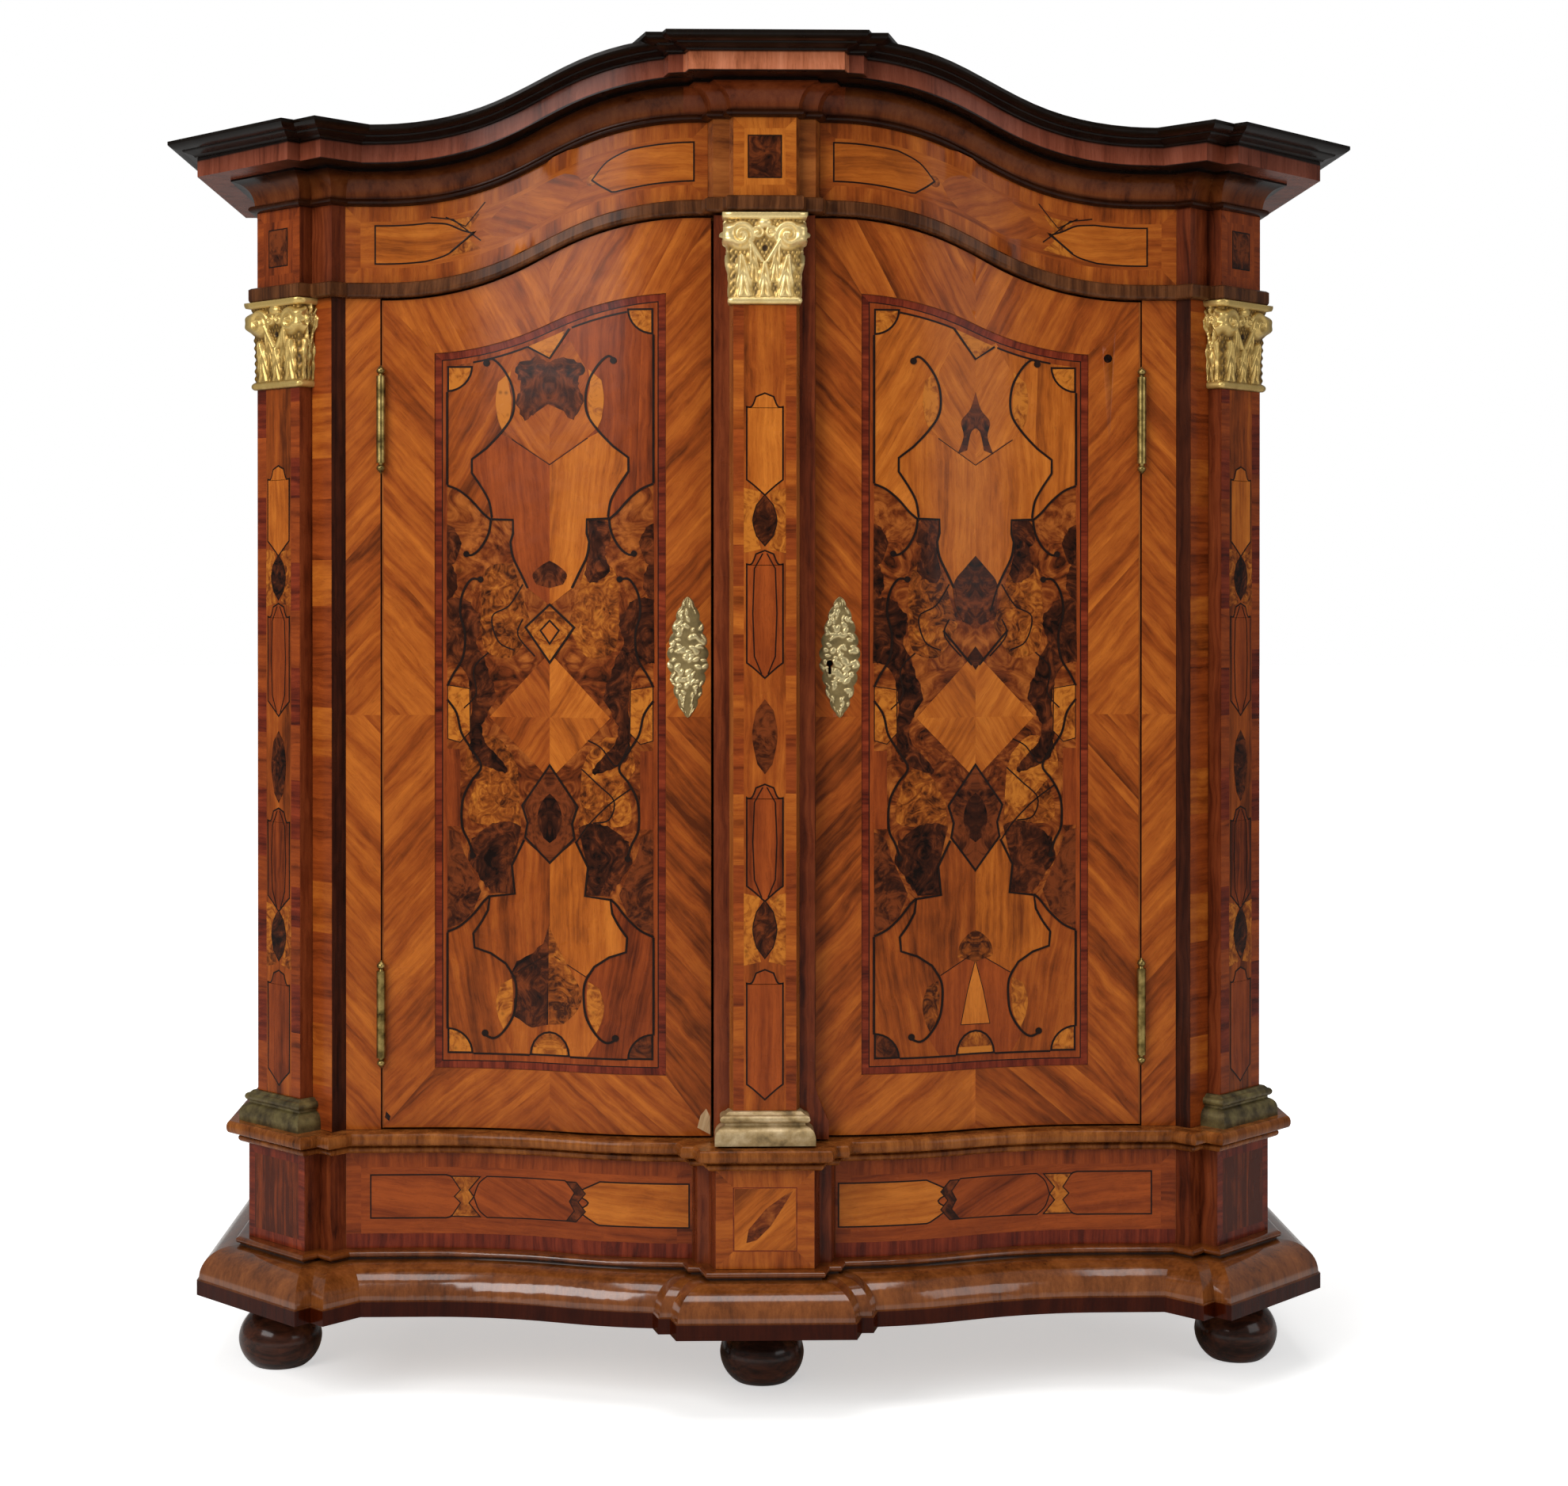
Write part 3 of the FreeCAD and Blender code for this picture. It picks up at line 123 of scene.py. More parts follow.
# On a bent surface leaves are cut at every CUT_EVERY millimetres. Strips of one leaf differ by STRIP_SPREAD.
CUT_EVERY, STRIP_SPREAD = 12.0, 0.16
# In metres: the wood that figure is taken from, a ray's start before the drawing and its reach, the floor.
FIGURE_REACH, RAY_START, RAY_REACH, FLOOR_RADIUS = 40, 0.4, 1.2, 40.0

WALNUT, PLUM, GOLDEN, BURL, DARK_BURL = "walnut", "plum", "golden", "burl", "dark_burl"
LINE, BAND, BARE, CLOUDS = "line", "band", "bare", "clouds"


def s_curve(x, outer, inner, rise):
    """Height of the S curve of two equal arcs: 0 beyond outer, rise inside inner."""
    x = abs(x)
    if x >= outer:
        return 0.0
    if x <= inner:
        return rise
    half_run, half_rise = (outer - inner) / 2, rise / 2
    radius = (half_run ** 2 + half_rise ** 2) / rise
    if outer - x <= half_run:
        return radius - math.sqrt(radius ** 2 - (outer - x) ** 2)
    return rise - radius + math.sqrt(radius ** 2 - (x - inner) ** 2)


def linear(colour):
    """An sRGB hex colour as linear RGBA."""
    channels = [int(colour[i:i + 2], 16) / 255 for i in (1, 3, 5)]
    return [c / 12.92 if c <= 0.04045 else ((c + 0.055) / 1.055) ** 2.4 for c in channels] + [1.0]


def node(tree, kind, inputs=None, out=0, stops=(), **settings):
    """Add a node with its settings, its values or links and a ramp's stops; gives one of its outputs."""
    made = tree.nodes.new("ShaderNode" + kind)
    for name, value in settings.items():
        setattr(made, name, value)
    for name, value in (inputs or {}).items():
        if isinstance(value, bpy.types.NodeSocket):
            tree.links.new(value, made.inputs[name])
        else:
            made.inputs[name].default_value = value
    if stops:
        elements = made.color_ramp.elements
        while len(elements) < len(stops):
            elements.new(0.5)
        for element, (position, level) in zip(elements, stops):
            element.position = position
            if isinstance(level, str):
                level = linear(level)
            element.color = (level, level, level, 1.0) if isinstance(level, float) else level
    return made.outputs[out] if made.outputs else None


def weighed(tree, start, *parts):
    """A starting number plus each pattern times its weight."""
    for pattern, weight in parts:
        start = node(tree, "Math", {0: pattern, 1: weight, 2: start}, operation="MULTIPLY_ADD")
    return start


def new_material(name):
    material = bpy.data.materials.new(name)
    material.use_nodes = True
    material.node_tree.nodes.clear()
    return material, material.node_tree


def surface(tree, colour, roughness, height, bump, **constants):
    """The shader with its colour, roughness and bump; constants go on its own sockets."""
    inputs = {"Base Color": colour, "Roughness": roughness,
              "Normal": node(tree, "Bump", {"Height": height, "Distance": bump, "Strength": 1.0})}
    inputs.update({name.replace("_", " "): value for name, value in constants.items()})
    node(tree, "OutputMaterial", {"Surface": node(tree, "BsdfPrincipled", inputs)})


def grain_coordinates(tree, grain):
    """Coordinates whose first axis follows the grain: the leaf's own map or an axis of the object."""
    if grain == "leaf":
        return node(tree, "UVMap", uv_map="grain")
    place = node(tree, "TexCoord", out="Object")
    if grain == "z":
        place = node(tree, "Mapping", {"Vector": place, "Rotation": (0.0, math.pi / 2, 0.0)})
    return place


def wood(name, light, middle, dark, grain="leaf", streak=4.0, stripe=22.0, wave=5.0, polish=0.28,
         coat=0.06, contrast=1.0, pores=0.25, zones=None):
    """Sawn veneer or solid wood. streak and stripe are the widths of its grain lines in millimetres."""
    material, tree = new_material(name)
    place = grain_coordinates(tree, grain)
    sway = node(tree, "TexNoise", {"Vector": place, "Scale": 9.0, "Detail": 2.0, "Roughness": 0.55})
    drift = wave * 4 * MM
    sway = weighed(tree, -drift / 2, (sway, drift))
    sway = node(tree, "CombineXYZ", {"Y": sway, "Z": sway})
    place = node(tree, "VectorMath", {0: place, 1: sway}, operation="ADD")
    patterns = []
    for along, across, detail, rough in (
            (6.0, 500.0 / streak, 5.0, 0.6), (1.6, 500.0 / stripe, 3.0, 0.5), (22.0, 40.0, 3.0, 0.5),
            (55.0, 1300.0, 2.0, 0.5)):
        drawn_out = node(tree, "Mapping", {"Vector": place, "Scale": (along, across, across)})
        patterns.append(node(tree, "TexNoise", {"Vector": drawn_out, "Scale": 1.0, "Detail": detail,
                                                "Roughness": rough}))
    fine, broad, figure, pore = patterns
    tone = node(tree, "Attribute", out="Fac", attribute_name="tone")
    strength = 2.3 * contrast
    shade = weighed(tree, 0.25 - strength / 2, (fine, 0.42 * strength), (broad, 0.58 * strength),
                    (tone, 0.5), (figure, 0.5))
    colour = node(tree, "ValToRGB", {"Fac": shade}, stops=[(0.08, dark), (0.42, middle), (0.88, light)])
    pore = node(tree, "ValToRGB", {"Fac": pore}, stops=[(0.30, 1.0 - pores), (0.46, 1.0)])
    colour = node(tree, "Mix", {0: 1.0, 6: colour, 7: pore}, 2, data_type="RGBA", blend_type="MULTIPLY")
    if zones:
        colour = zones(tree, colour)
    around = node(tree, "TexCoord", out="Object")
    rubbed = node(tree, "TexNoise", {"Vector": around, "Scale": 7.0, "Detail": 4.0, "Roughness": 0.6})
    ripple = node(tree, "TexNoise", {"Vector": around, "Scale": 16.0, "Detail": 2.0, "Roughness": 0.55})
    height = node(tree, "Math", {0: fine, 1: 0.12, 2: ripple}, operation="MULTIPLY_ADD")
    surface(tree, colour, weighed(tree, polish - 0.11, (rubbed, 0.22)), height, 0.0012,
            Coat_Weight=coat(tree) if callable(coat) else coat, Coat_Roughness=0.12, Specular_IOR_Level=0.1)
    return material


def burl(name, light, middle, dark, knot=26.0):
    """Root or crotch veneer: swirling figure with small dark eyes. knot is its scale in millimetres."""
    material, tree = new_material(name)
    place = grain_coordinates(tree, "leaf")
    scale = 1000.0 / knot
    swirl = node(tree, "TexNoise", {"Vector": place, "Scale": scale, "Detail": 6.0, "Roughness": 0.62,
                                    "Distortion": 2.6})
    cloud = node(tree, "TexNoise", {"Vector": place, "Scale": scale * 0.45, "Detail": 3.0, "Roughness": 0.5,
                                    "Distortion": 1.2})
    eyes = node(tree, "TexVoronoi", {"Vector": place, "Scale": scale * 1.3, "Randomness": 1.0}, "Distance")
    eyes = node(tree, "ValToRGB", {"Fac": eyes}, stops=[(0.05, 0.35), (0.22, 1.0)])
    tone = node(tree, "Attribute", out="Fac", attribute_name="tone")
    shade = weighed(tree, -1.0, (swirl, 1.8), (cloud, 1.2), (tone, 0.5))
    colour = node(tree, "ValToRGB", {"Fac": shade}, stops=[(0.10, dark), (0.45, middle), (0.85, light)])
    colour = node(tree, "Mix", {0: 0.75, 6: colour, 7: eyes}, 2, data_type="RGBA", blend_type="MULTIPLY")
    around = node(tree, "TexCoord", out="Object")
    ripple = node(tree, "TexNoise", {"Vector": around, "Scale": 16.0, "Detail": 2.0, "Roughness": 0.55})
    surface(tree, colour, weighed(tree, 0.17, (swirl, 0.16)), ripple, 0.0012, Coat_Weight=0.06,
            Coat_Roughness=0.12, Specular_IOR_Level=0.1)
    return material


def metal(name, bright, dull, hollow_dirt_and_shade, rough=0.35, wear_mm=14.0, bump=0.0006, metallic=0.9, carved=False):
    """Cast, gilded or forged metal: bright where it is rubbed, dull and dirty in the hollows.

    A carved piece brings its own relief, 0 in the hollows and 1 on the crests; by it the carving's hollows
    are darkened with painted shade as well as grime, and the crests come out brightest."""
    material, tree = new_material(name)
    place = node(tree, "TexCoord", out="Object")
    wear = node(tree, "TexNoise", {"Vector": place, "Scale": 1000.0 / wear_mm, "Detail": 4.0,
                                   "Roughness": 0.55})
    specks = node(tree, "TexNoise", {"Vector": place, "Scale": 420.0, "Detail": 2.0, "Roughness": 0.5})
    level, places = wear, (0.28, 0.46, 0.68)
    if carved:
        # Carved: the relief paints shade into the hollows, on top of their grime.
        relief = node(tree, "Attribute", out="Fac", attribute_name="relief")
        level, places = weighed(tree, 0.0, (relief, 0.72), (wear, 0.42)), (0.30, 0.50, 0.78)
    colour = node(tree, "ValToRGB", {"Fac": level}, stops=list(zip(places, (hollow_dirt_and_shade, dull, bright))))
    dust = node(tree, "ValToRGB", {"Fac": specks}, stops=[(0.34, 0.4), (0.55, 1.0)])
    colour = node(tree, "Mix", {0: 0.18, 6: colour, 7: dust}, 2, data_type="RGBA", blend_type="MULTIPLY")
    height = node(tree, "Math", {0: specks, 1: 0.2, 2: wear}, operation="MULTIPLY_ADD")
    surface(tree, colour, weighed(tree, rough + 0.12, (level, -0.2)), height, bump, Metallic=metallic)
    return material


def height_share(tree, low, high):
    """The object's height between two levels in millimetres, as a share."""
    z = node(tree, "SeparateXYZ", {0: node(tree, "TexCoord", out="Object")}, "Z")
    return weighed(tree, -low / (high - low), (z, 1 / ((high - low) * MM)))


def cornice_zones(tree, colour):
    """Dark bead, brown hollow, a near black band of painted shade under the fascia, pinkish fascia and a near
    black lip, from the bottom up along the arch.
    """
    x = node(tree, "SeparateXYZ", {0: node(tree, "TexCoord", out="Object")}, "X")
    width = node(tree, "Math", {0: x}, operation="ABSOLUTE")
    outward = node(tree, "Math", {0: width, 1: ARCH[0] * MM}, operation="DIVIDE")
    rise = node(tree, "FloatCurve", {"Value": outward})
    curve = rise.node.mapping
    points, steps = curve.curves[0].points, 16
    for i in range(1, steps):
        points.new(i / steps, s_curve(ARCH[0] * i / steps, *ARCH) / ARCH[2])
    points[0].location = (0.0, 1.0)
    points[len(points) - 1].location = (1.0, 0.0)
    curve.update()
    share = height_share(tree, CORNICE_Z, CORNICE_TOP)
    share = weighed(tree, share, (rise, -ARCH[2] / (CORNICE_TOP - CORNICE_Z)))
    # The near black band just below the fascia is painted shade of the fascia's underside.
    bead, underside_shade, lip = [(0.0, "#2A160C"), (0.10, "#3C2010")], [(0.47, "#140C08"), (0.515, "#140C08")], [
        (0.785, "#18100C"), (1.0, "#14100C")]
    sides = node(tree, "ValToRGB", {"Fac": share}, stops=[
        *bead, (0.16, "#8A4E28"), (0.40, "#5E3418"), *underside_shade, (0.53, "#8E5240"), (0.76, "#7A4434"), *lip])
    bright = node(tree, "ValToRGB", {"Fac": share}, stops=[
        *bead, (0.16, "#8A4A28"), (0.44, "#7A3E20"), *underside_shade, (0.53, "#D89070"), (0.76, "#C88262"), *lip])
    block = node(tree, "Math", {0: width, 1: CORNICE_BLOCK * MM}, operation="LESS_THAN")
    shade = node(tree, "Mix", {0: block, 6: sides, 7: bright}, 2, data_type="RGBA")
    return node(tree, "Mix", {0: 1.0, 6: colour, 7: shade}, 2, data_type="RGBA", blend_type="MULTIPLY")


def board_seams(tree, colour):
    """Dark joints between the upright boards of the back."""
    board, first, joint = 0.212, 1.6, 0.016
    x = node(tree, "SeparateXYZ", {0: node(tree, "TexCoord", out="Object")}, "X")
    along = node(tree, "Math", {0: weighed(tree, first / board, (x, 1 / board))}, operation="FRACT")
    seam = node(tree, "Math", {0: along, 1: joint}, operation="LESS_THAN")
    return node(tree, "Mix", {0: seam, 6: colour, 7: linear("#2A1A0E")}, 2, data_type="RGBA")


def base_burnish(tree):
    """The base's rolls are burnished, its square strip is dull."""
    share = height_share(tree, BASE_Z, PLINTH_Z)
    return node(tree, "Math", {0: share, 1: 0.28}, operation="GREATER_THAN")


def base_zones(tree, colour):
    """The base's square strip is darker than its rolls, and a thin dark line of painted shade lies in the
    groove under the top fillet.
    """
    # The near black stop at 0.86 of the height is painted shade in the groove under the fillet.
    shade = node(tree, "ValToRGB", {"Fac": height_share(tree, BASE_Z, PLINTH_Z)}, stops=[
        (0.26, "#7A4E38"), (0.30, "#FFF4E8"), (0.83, "#FFF4E8"), (0.86, "#4A3A30"), (0.89, "#E8D0B0")])
    return node(tree, "Mix", {0: 1.0, 6: colour, 7: shade}, 2, data_type="RGBA", blend_type="MULTIPLY")


def chosen(name):
    """A colour as the sidebar has it."""
    return getattr(bpy.context.scene.cupboard, name)


# Finishes, each made once. A comment says what the real material gives the eye.
FINISHES = {
    # Sawn walnut veneer under shellac: orange brown, streaky, with a soft deep gloss.
    WALNUT: lambda: wood("walnut_veneer_shellac", "#B06020", chosen("walnut"), "#52230A"),
    # Plum wood: redder and closer in the grain than walnut.
    PLUM: lambda: wood("plum_veneer_shellac", "#974619", chosen("plum"), "#481B09", streak=3.0, stripe=16.0),
    # Paler straight-grained walnut for the middle fields.
    GOLDEN: lambda: wood("pale_walnut_veneer", "#C06F26", chosen("golden"), "#6B310E", streak=3.5,
                         stripe=30.0),
    # Root walnut: swirls and eyes.
    BURL: lambda: burl("walnut_burl_veneer", "#B26922", "#803F13", "#381808"),
    # Crotch walnut: nearly black clouds in brown.
    DARK_BURL: lambda: burl("dark_walnut_crotch", "#6C3214", "#38180A", "#120704", 34.0),
    # Mottled crotch veneer of the panels' middles: red brown with near black clouds and tan patches.
    CLOUDS: lambda: burl("mottled_crotch_veneer", "#9C551F", "#682D0F", "#1B0B04", 46.0),
    # Ebonised pear wood stringing: even, near black, slightly matt.
    LINE: lambda: wood("ebonised_stringing", "#26150D", "#180C07", "#0E0704", contrast=0.6, polish=0.34),
    # Cross-banded border: short grain across the strip, dark red.
    BAND: lambda: wood("cross_banded_plum", "#84341A", "#5E2010", "#32100A", streak=2.5, stripe=9.0),
    # Pale ground wood where a chip of veneer is gone: dry and matt.
    BARE: lambda: wood("bare_ground_wood", "#D8BE98", "#BC9A70", "#8E6E48", polish=0.6, coat=0.0),
    "cross_z": lambda: wood("cross_grained_walnut_moulding", "#975A28", "#713D18", "#41200B", "z", 3.0, 14.0,
                            polish=0.2),
    "dark_cross": lambda: wood("dark_cross_banding", "#6E4224", "#482814", "#221009", "z", 2.5, 12.0),
    "base_roll": lambda: wood("cross_grained_base_rolls", "#8C5428", "#683A18", "#3C1E0C", "z", 3.0, 16.0,
                              polish=0.16, coat=base_burnish, contrast=0.7, zones=base_zones),
    "cornice": lambda: wood("cornice_cross_grained", "#F4E8DC", "#D0B8A4", "#8A705C", "z", 3.0, 16.0,
                            zones=cornice_zones),
    # Painted shade: a near black walnut laid on the corner posts' returns, which stand in shadow.
    "return_painted_shade": lambda: wood("dark_stained_walnut", "#4A2212", "#32150B", "#1A0A06", "z", 3.0, 12.0),
    # Red walnut of the returns beside the pilasters and blocks, its own red darkened with painted shade of
    # faces turned from the light.
    "red_return_painted_shade": lambda: wood("red_stained_walnut", "#7C3A1C", "#5C2611", "#321208", "z", 3.0, 12.0),
    "ground_z": lambda: wood("walnut_ground_upright", "#A05C28", "#7E421A", "#4E240E", "z"),
    "ground_x": lambda: wood("walnut_ground_lying", "#A05C28", "#7E421A", "#4E240E", "x"),
    # Oiled softwood inside: pale, matt, with wide grain lines.
    "inside_x": lambda: wood("pine_boards_lying", "#CFA26A", "#AE7E4A", "#80562C", "x", 6.0, 40.0,
                             polish=0.55, coat=0.0),
    "inside_z": lambda: wood("pine_boards_upright", "#C8985E", "#A87644", "#7C5028", "z", 6.0, 40.0,
                             polish=0.6, coat=0.0, contrast=0.7, zones=board_seams),
    # Black-stained turned beech: dark with brown showing on the roll.
    "foot": lambda: wood("black_stained_turned_wood", "#5E3220", "#2E1A12", "#140B08", "x", 3.0, 12.0,
                         polish=0.2, contrast=0.7, coat=0.35),
    # Oil gilding on carved wood: warm pale gold with red bole, and dust and painted shade in the hollows.
    "gilded": lambda: metal("worn_gilding", "#EBD090", chosen("gilding"), "#3E2A12", 0.36, 26.0, 0.0003, 0.6,
                            carved=True),
    # The corner capitals' gilding: a darker copy of the same gilding, as painted shade of capitals on the
    # canted corners, turned from the light.
    "gilded_painted_shade": lambda: metal("rubbed_gilding", "#D0B068", "#94702E", "#32220E", 0.38, 26.0, 0.0003, 0.6,
                                 carved=True),
    "gilded_dull": lambda: metal("dulled_gilding", "#C8B088", "#9E8458", "#5E4A2C", 0.42, 30.0, 0.0003, 0.45),
    # The corner bases' gilding: darker and olive, as painted shade of the bases on the canted corners.
    "gilded_olive": lambda: metal("blackened_gilding", "#7A6C40", "#56492A", "#2C2412", 0.42, 22.0, 0.0003,
                                  0.45),
    # Cast and chased brass, gone pale and greenish, with grime and painted shade in the hollows of its
    # chasing.
    "plate": lambda: metal("pale_chased_brass", "#C4B282", "#947F52", "#5E5032", 0.36, 16.0, 0.0003, 0.7,
                           carved=True),
    "hinge": lambda: metal("aged_brass", "#B0985C", "#7E6A3A", "#3A2E18", 0.3, 16.0, 0.0003),
    "iron": lambda: metal("dark_forged_iron", "#5E5A56", "#3C3936", "#1E1B19", 0.5, 10.0),
}

MADE = {}


def finish(name):
    """The material of a finish, made the first time it is asked for."""
    if name not in MADE:
        MADE[name] = FINISHES[name]()
    return MADE[name]


def bend(*points, steps=5):
    """Points of a smooth curve through the given points."""
    ends = [points[0], *points, points[-1]]
    path = []
    for p0, p1, p2, p3 in zip(ends, ends[1:], ends[2:], ends[3:]):
        for i in range(steps):
            t = i / steps
            path.append(tuple(0.5 * (2 * b + (c - a) * t + (2 * a - 5 * b + 4 * c - d) * t * t
                                     + (3 * b - a - 3 * c + d) * t ** 3)
                              for a, b, c, d in zip(p0, p1, p2, p3)))
    return path + [points[-1]]


def both(points):
    """A closed outline from its right half, given from the top to the bottom."""
    left = [(-x, z) for x, z in reversed(points) if abs(x) > 0.01]
    return points + left


def moved(points, dx=0.0, flip=1):
    """The same outline moved sideways, mirrored first where flip is -1."""
    return [(flip * x + dx, z) for x, z in points]


def in_band(points, side, middle, half):
    """An outline whose height runs from -1 to 1, set in a band round a middle height."""
    return [(side * x, middle + z * half) for x, z in points]


def disc(x, z, radius, count=14):
    return [(x + radius * math.cos(2 * math.pi * i / count), z + radius * math.sin(2 * math.pi * i / count))
            for i in range(count)]


def box_of(x0, x1, z0, z1):
    return [(x0, z0), (x1, z0), (x1, z1), (x0, z1)]


def ragged(points, most, seed=5):
    """The same outline with an uneven edge, as dark figure in a burl has."""
    draw = random.Random(seed)
    return [(x + draw.uniform(-most, most), z + draw.uniform(-most, most)) for x, z in points]


def skin(names):
    """The surface of some solids, to lay veneer on."""
    points, polygons = [], []
    for name in names:
        mesh = NODES[name].data
        start = len(points)
        points += [v.co for v in mesh.vertices]
        polygons += [[start + i for i in p.vertices] for p in mesh.polygons]
    return BVHTree.FromPolygons(points, polygons)


def linked(name, bm, *finishes):
    """A finished mesh as an object of the scene, with its materials."""
    mesh = bpy.data.meshes.new(name)
    bm.to_mesh(mesh)
    bm.free()
    for finish_name in finishes:
        mesh.materials.append(finish(finish_name))
    made = bpy.data.objects.new(name, mesh)
    bpy.context.scene.collection.objects.link(made)
    return made


def smooth_shaded(bm, sharp):
    """Round shading all over, but not across edges that bend more than sharp, in radians."""
    for edge in bm.edges:
        edge.smooth = edge.is_manifold and edge.calc_face_angle(0.0) < sharp
    for face in bm.faces:
        face.smooth = True


class Veneer:
    """Leaves and lines drawn flat in millimetres, along and up, and then laid on the solids."""

    def __init__(self, name, seed):
        self.name = name
        self.bm = bmesh.new()
        self.grain = self.bm.faces.layers.float.new("grain_angle")
        self.tone = self.bm.faces.layers.float.new("tone")
        self.shift = self.bm.faces.layers.float.new("shift")
        self.axis = self.bm.faces.layers.float.new("axis")
        self.uv = self.bm.loops.layers.uv.new("grain")
        self.finishes = []
        self.random = random.Random(seed)

    def mark(self, face, finish_name, grain, tone, shift, axis):
        if finish_name not in self.finishes:
            self.finishes.append(finish_name)
        face.material_index = self.finishes.index(finish_name)
        face[self.grain], face[self.tone] = math.radians(grain), tone
        face[self.shift], face[self.axis] = shift, axis

    def leaf(self, outline, finish_name, grain=90.0, tone=0.0, bands=(), level=0, cuts=0, axis=0.0):
        """One leaf. bands run inwards from its edge as (width, finish, grain), a grain of None across the
        edge; cuts split the leaf along its grain."""
        bm = self.bm
        points = [p for p, q in zip(outline, outline[1:] + outline[:1]) if math.dist(p, q) > 0.05]
        face = bm.faces.new([bm.verts.new((x, z, level)) for x, z in points])
        bm.normal_update()
        if face.normal.z < 0:
            face.normal_flip()
        shift = self.random.uniform(0, FIGURE_REACH)
        for width, band, band_grain in bands:
            made = bmesh.ops.inset_individual(bm, faces=[face], thickness=width, use_even_offset=True)
            for ring in made["faces"]:
                way = band_grain
                if band_grain is None:
                    edge = max(ring.edges, key=lambda e: e.calc_length())
                    run = edge.verts[1].co - edge.verts[0].co
                    way = math.degrees(math.atan2(run.y, run.x)) + 90.0
                ring_tone, ring_shift = self.random.uniform(-0.1, 0.1), self.random.uniform(0, FIGURE_REACH)
                self.mark(ring, band, way, ring_tone, ring_shift, 0.0)
        faces = [face]
        self.mark(face, finish_name, grain, tone, shift, axis)
        if cuts:
            across = Vector((-math.sin(math.radians(grain)), math.cos(math.radians(grain)), 0))
            spread = [v.co.dot(across) for v in face.verts]
            low, high = min(spread), max(spread)
            marks = sorted(self.random.uniform(low, high) for _ in range(cuts))
            for mark in marks:
                cut = set(faces) | {e for f in faces for e in f.edges} | {v for f in faces for v in f.verts}
                found = bmesh.ops.bisect_plane(bm, geom=list(cut), dist=0.001, plane_co=across * mark,
                                               plane_no=across)
                parts = {f for f in found["geom"] if isinstance(f, bmesh.types.BMFace)}
                faces = list(parts | {f for f in faces if f.is_valid})
            faces.sort(key=lambda f: f.calc_center_median().dot(across))
            last = None
            for part in faces:
                strip = sum(part.calc_center_median().dot(across) > m for m in marks)
                if strip != last:
                    strip_tone = tone + self.random.uniform(-STRIP_SPREAD, STRIP_SPREAD)
                    strip_shift = self.random.uniform(0, FIGURE_REACH)
                    last = strip
                self.mark(part, finish_name, grain, strip_tone, strip_shift, axis)

    def figure(self, outline, finish_name, line, **options):
        """A leaf outlined by a dark line of the given width."""
        self.leaf(outline, finish_name, bands=[(line, LINE, 0.0)], **options)

    def line(self, path, width=3.2, level=3):
        """A dark line along an open path."""
        left, right = [], []
        for i, point in enumerate(path):
            before, after = path[max(i - 1, 0)], path[min(i + 1, len(path) - 1)]
            run = math.dist(before, after) or 1.0
            nx, nz = -(after[1] - before[1]) / run, (after[0] - before[0]) / run
            left.append((point[0] + nx * width / 2, point[1] + nz * width / 2))
            right.append((point[0] - nx * width / 2, point[1] - nz * width / 2))
        self.leaf(left + right[::-1], LINE, grain=0.0, level=level)

    def lay(self, solids, origin, along, inward, body, slot_name="inlaid_walnut", rise=None, curved=False):
        """Cut the drawing where the surface bends, set every point on the solids and give it a thickness."""
        bm = self.bm
        if curved:
            spots = [v.co.x for v in bm.verts]
            x = math.ceil(min(spots) / CUT_EVERY) * CUT_EVERY
            while x < max(spots):
                bmesh.ops.bisect_plane(bm, geom=bm.verts[:] + bm.edges[:] + bm.faces[:], dist=0.01,
                                       plane_co=(x, 0, 0), plane_no=(1, 0, 0))
                x += CUT_EVERY
        for face in bm.faces:
            cosine, sine = math.cos(-face[self.grain]), math.sin(-face[self.grain])
            axis, shift = face[self.axis], face[self.shift]
            for loop in face.loops:
                x, z = loop.vert.co.x, loop.vert.co.y
                x = abs(x - axis) if axis else x
                loop[self.uv].uv = ((x * cosine - z * sine) * MM + shift,
                                    (x * sine + z * cosine) * MM + shift)
        tree = skin(solids)
        origin, along, inward = Vector(origin) * MM, Vector(along).normalized(), Vector(inward).normalized()
        found = []
        for vert in bm.verts:
            x, z, level = vert.co
            height = z + (rise(x) if rise else 0.0)
            start = origin + along * (x * MM) + Vector((0, 0, height * MM)) - inward * RAY_START
            hit = tree.ray_cast(start, inward, RAY_REACH)[0]
            hit = hit or tree.find_nearest(start + inward * RAY_START)[0]
            found.append((vert, start, (hit - start).dot(inward), level))
        face_depth = min(depth for vert, start, depth, level in found)
        sizes = bpy.context.scene.cupboard
        for vert, start, depth, level in found:
            depth = depth if curved else face_depth
            vert.co = start + inward * (depth - sizes.leaf_proud - level * sizes.level_step)
        smooth_shaded(bm, 0.6)
        piece = linked(self.name, bm, *self.finishes)
        thick = piece.modifiers.new("thickness", "SOLIDIFY")
        thick.thickness, thick.offset = sizes.leaf_thickness, -1.0
        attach(piece, body)


FRONT = {"origin": (0, DRAWING_Y, 0), "along": (1, 0, 0), "inward": (0, 1, 0)}


def door_outline_top(x, drop):
    return DOOR_TOP + s_curve(x, *ARCH) - drop


def panel_top(x, drop=0.0):
    return PANEL_TOP + s_curve(x, *PANEL_ARCH) - drop


def arc_points(function, start, end, count=16):
    return [(start + (end - start) * i / count, function(start + (end - start) * i / count))
            for i in range(count + 1)]


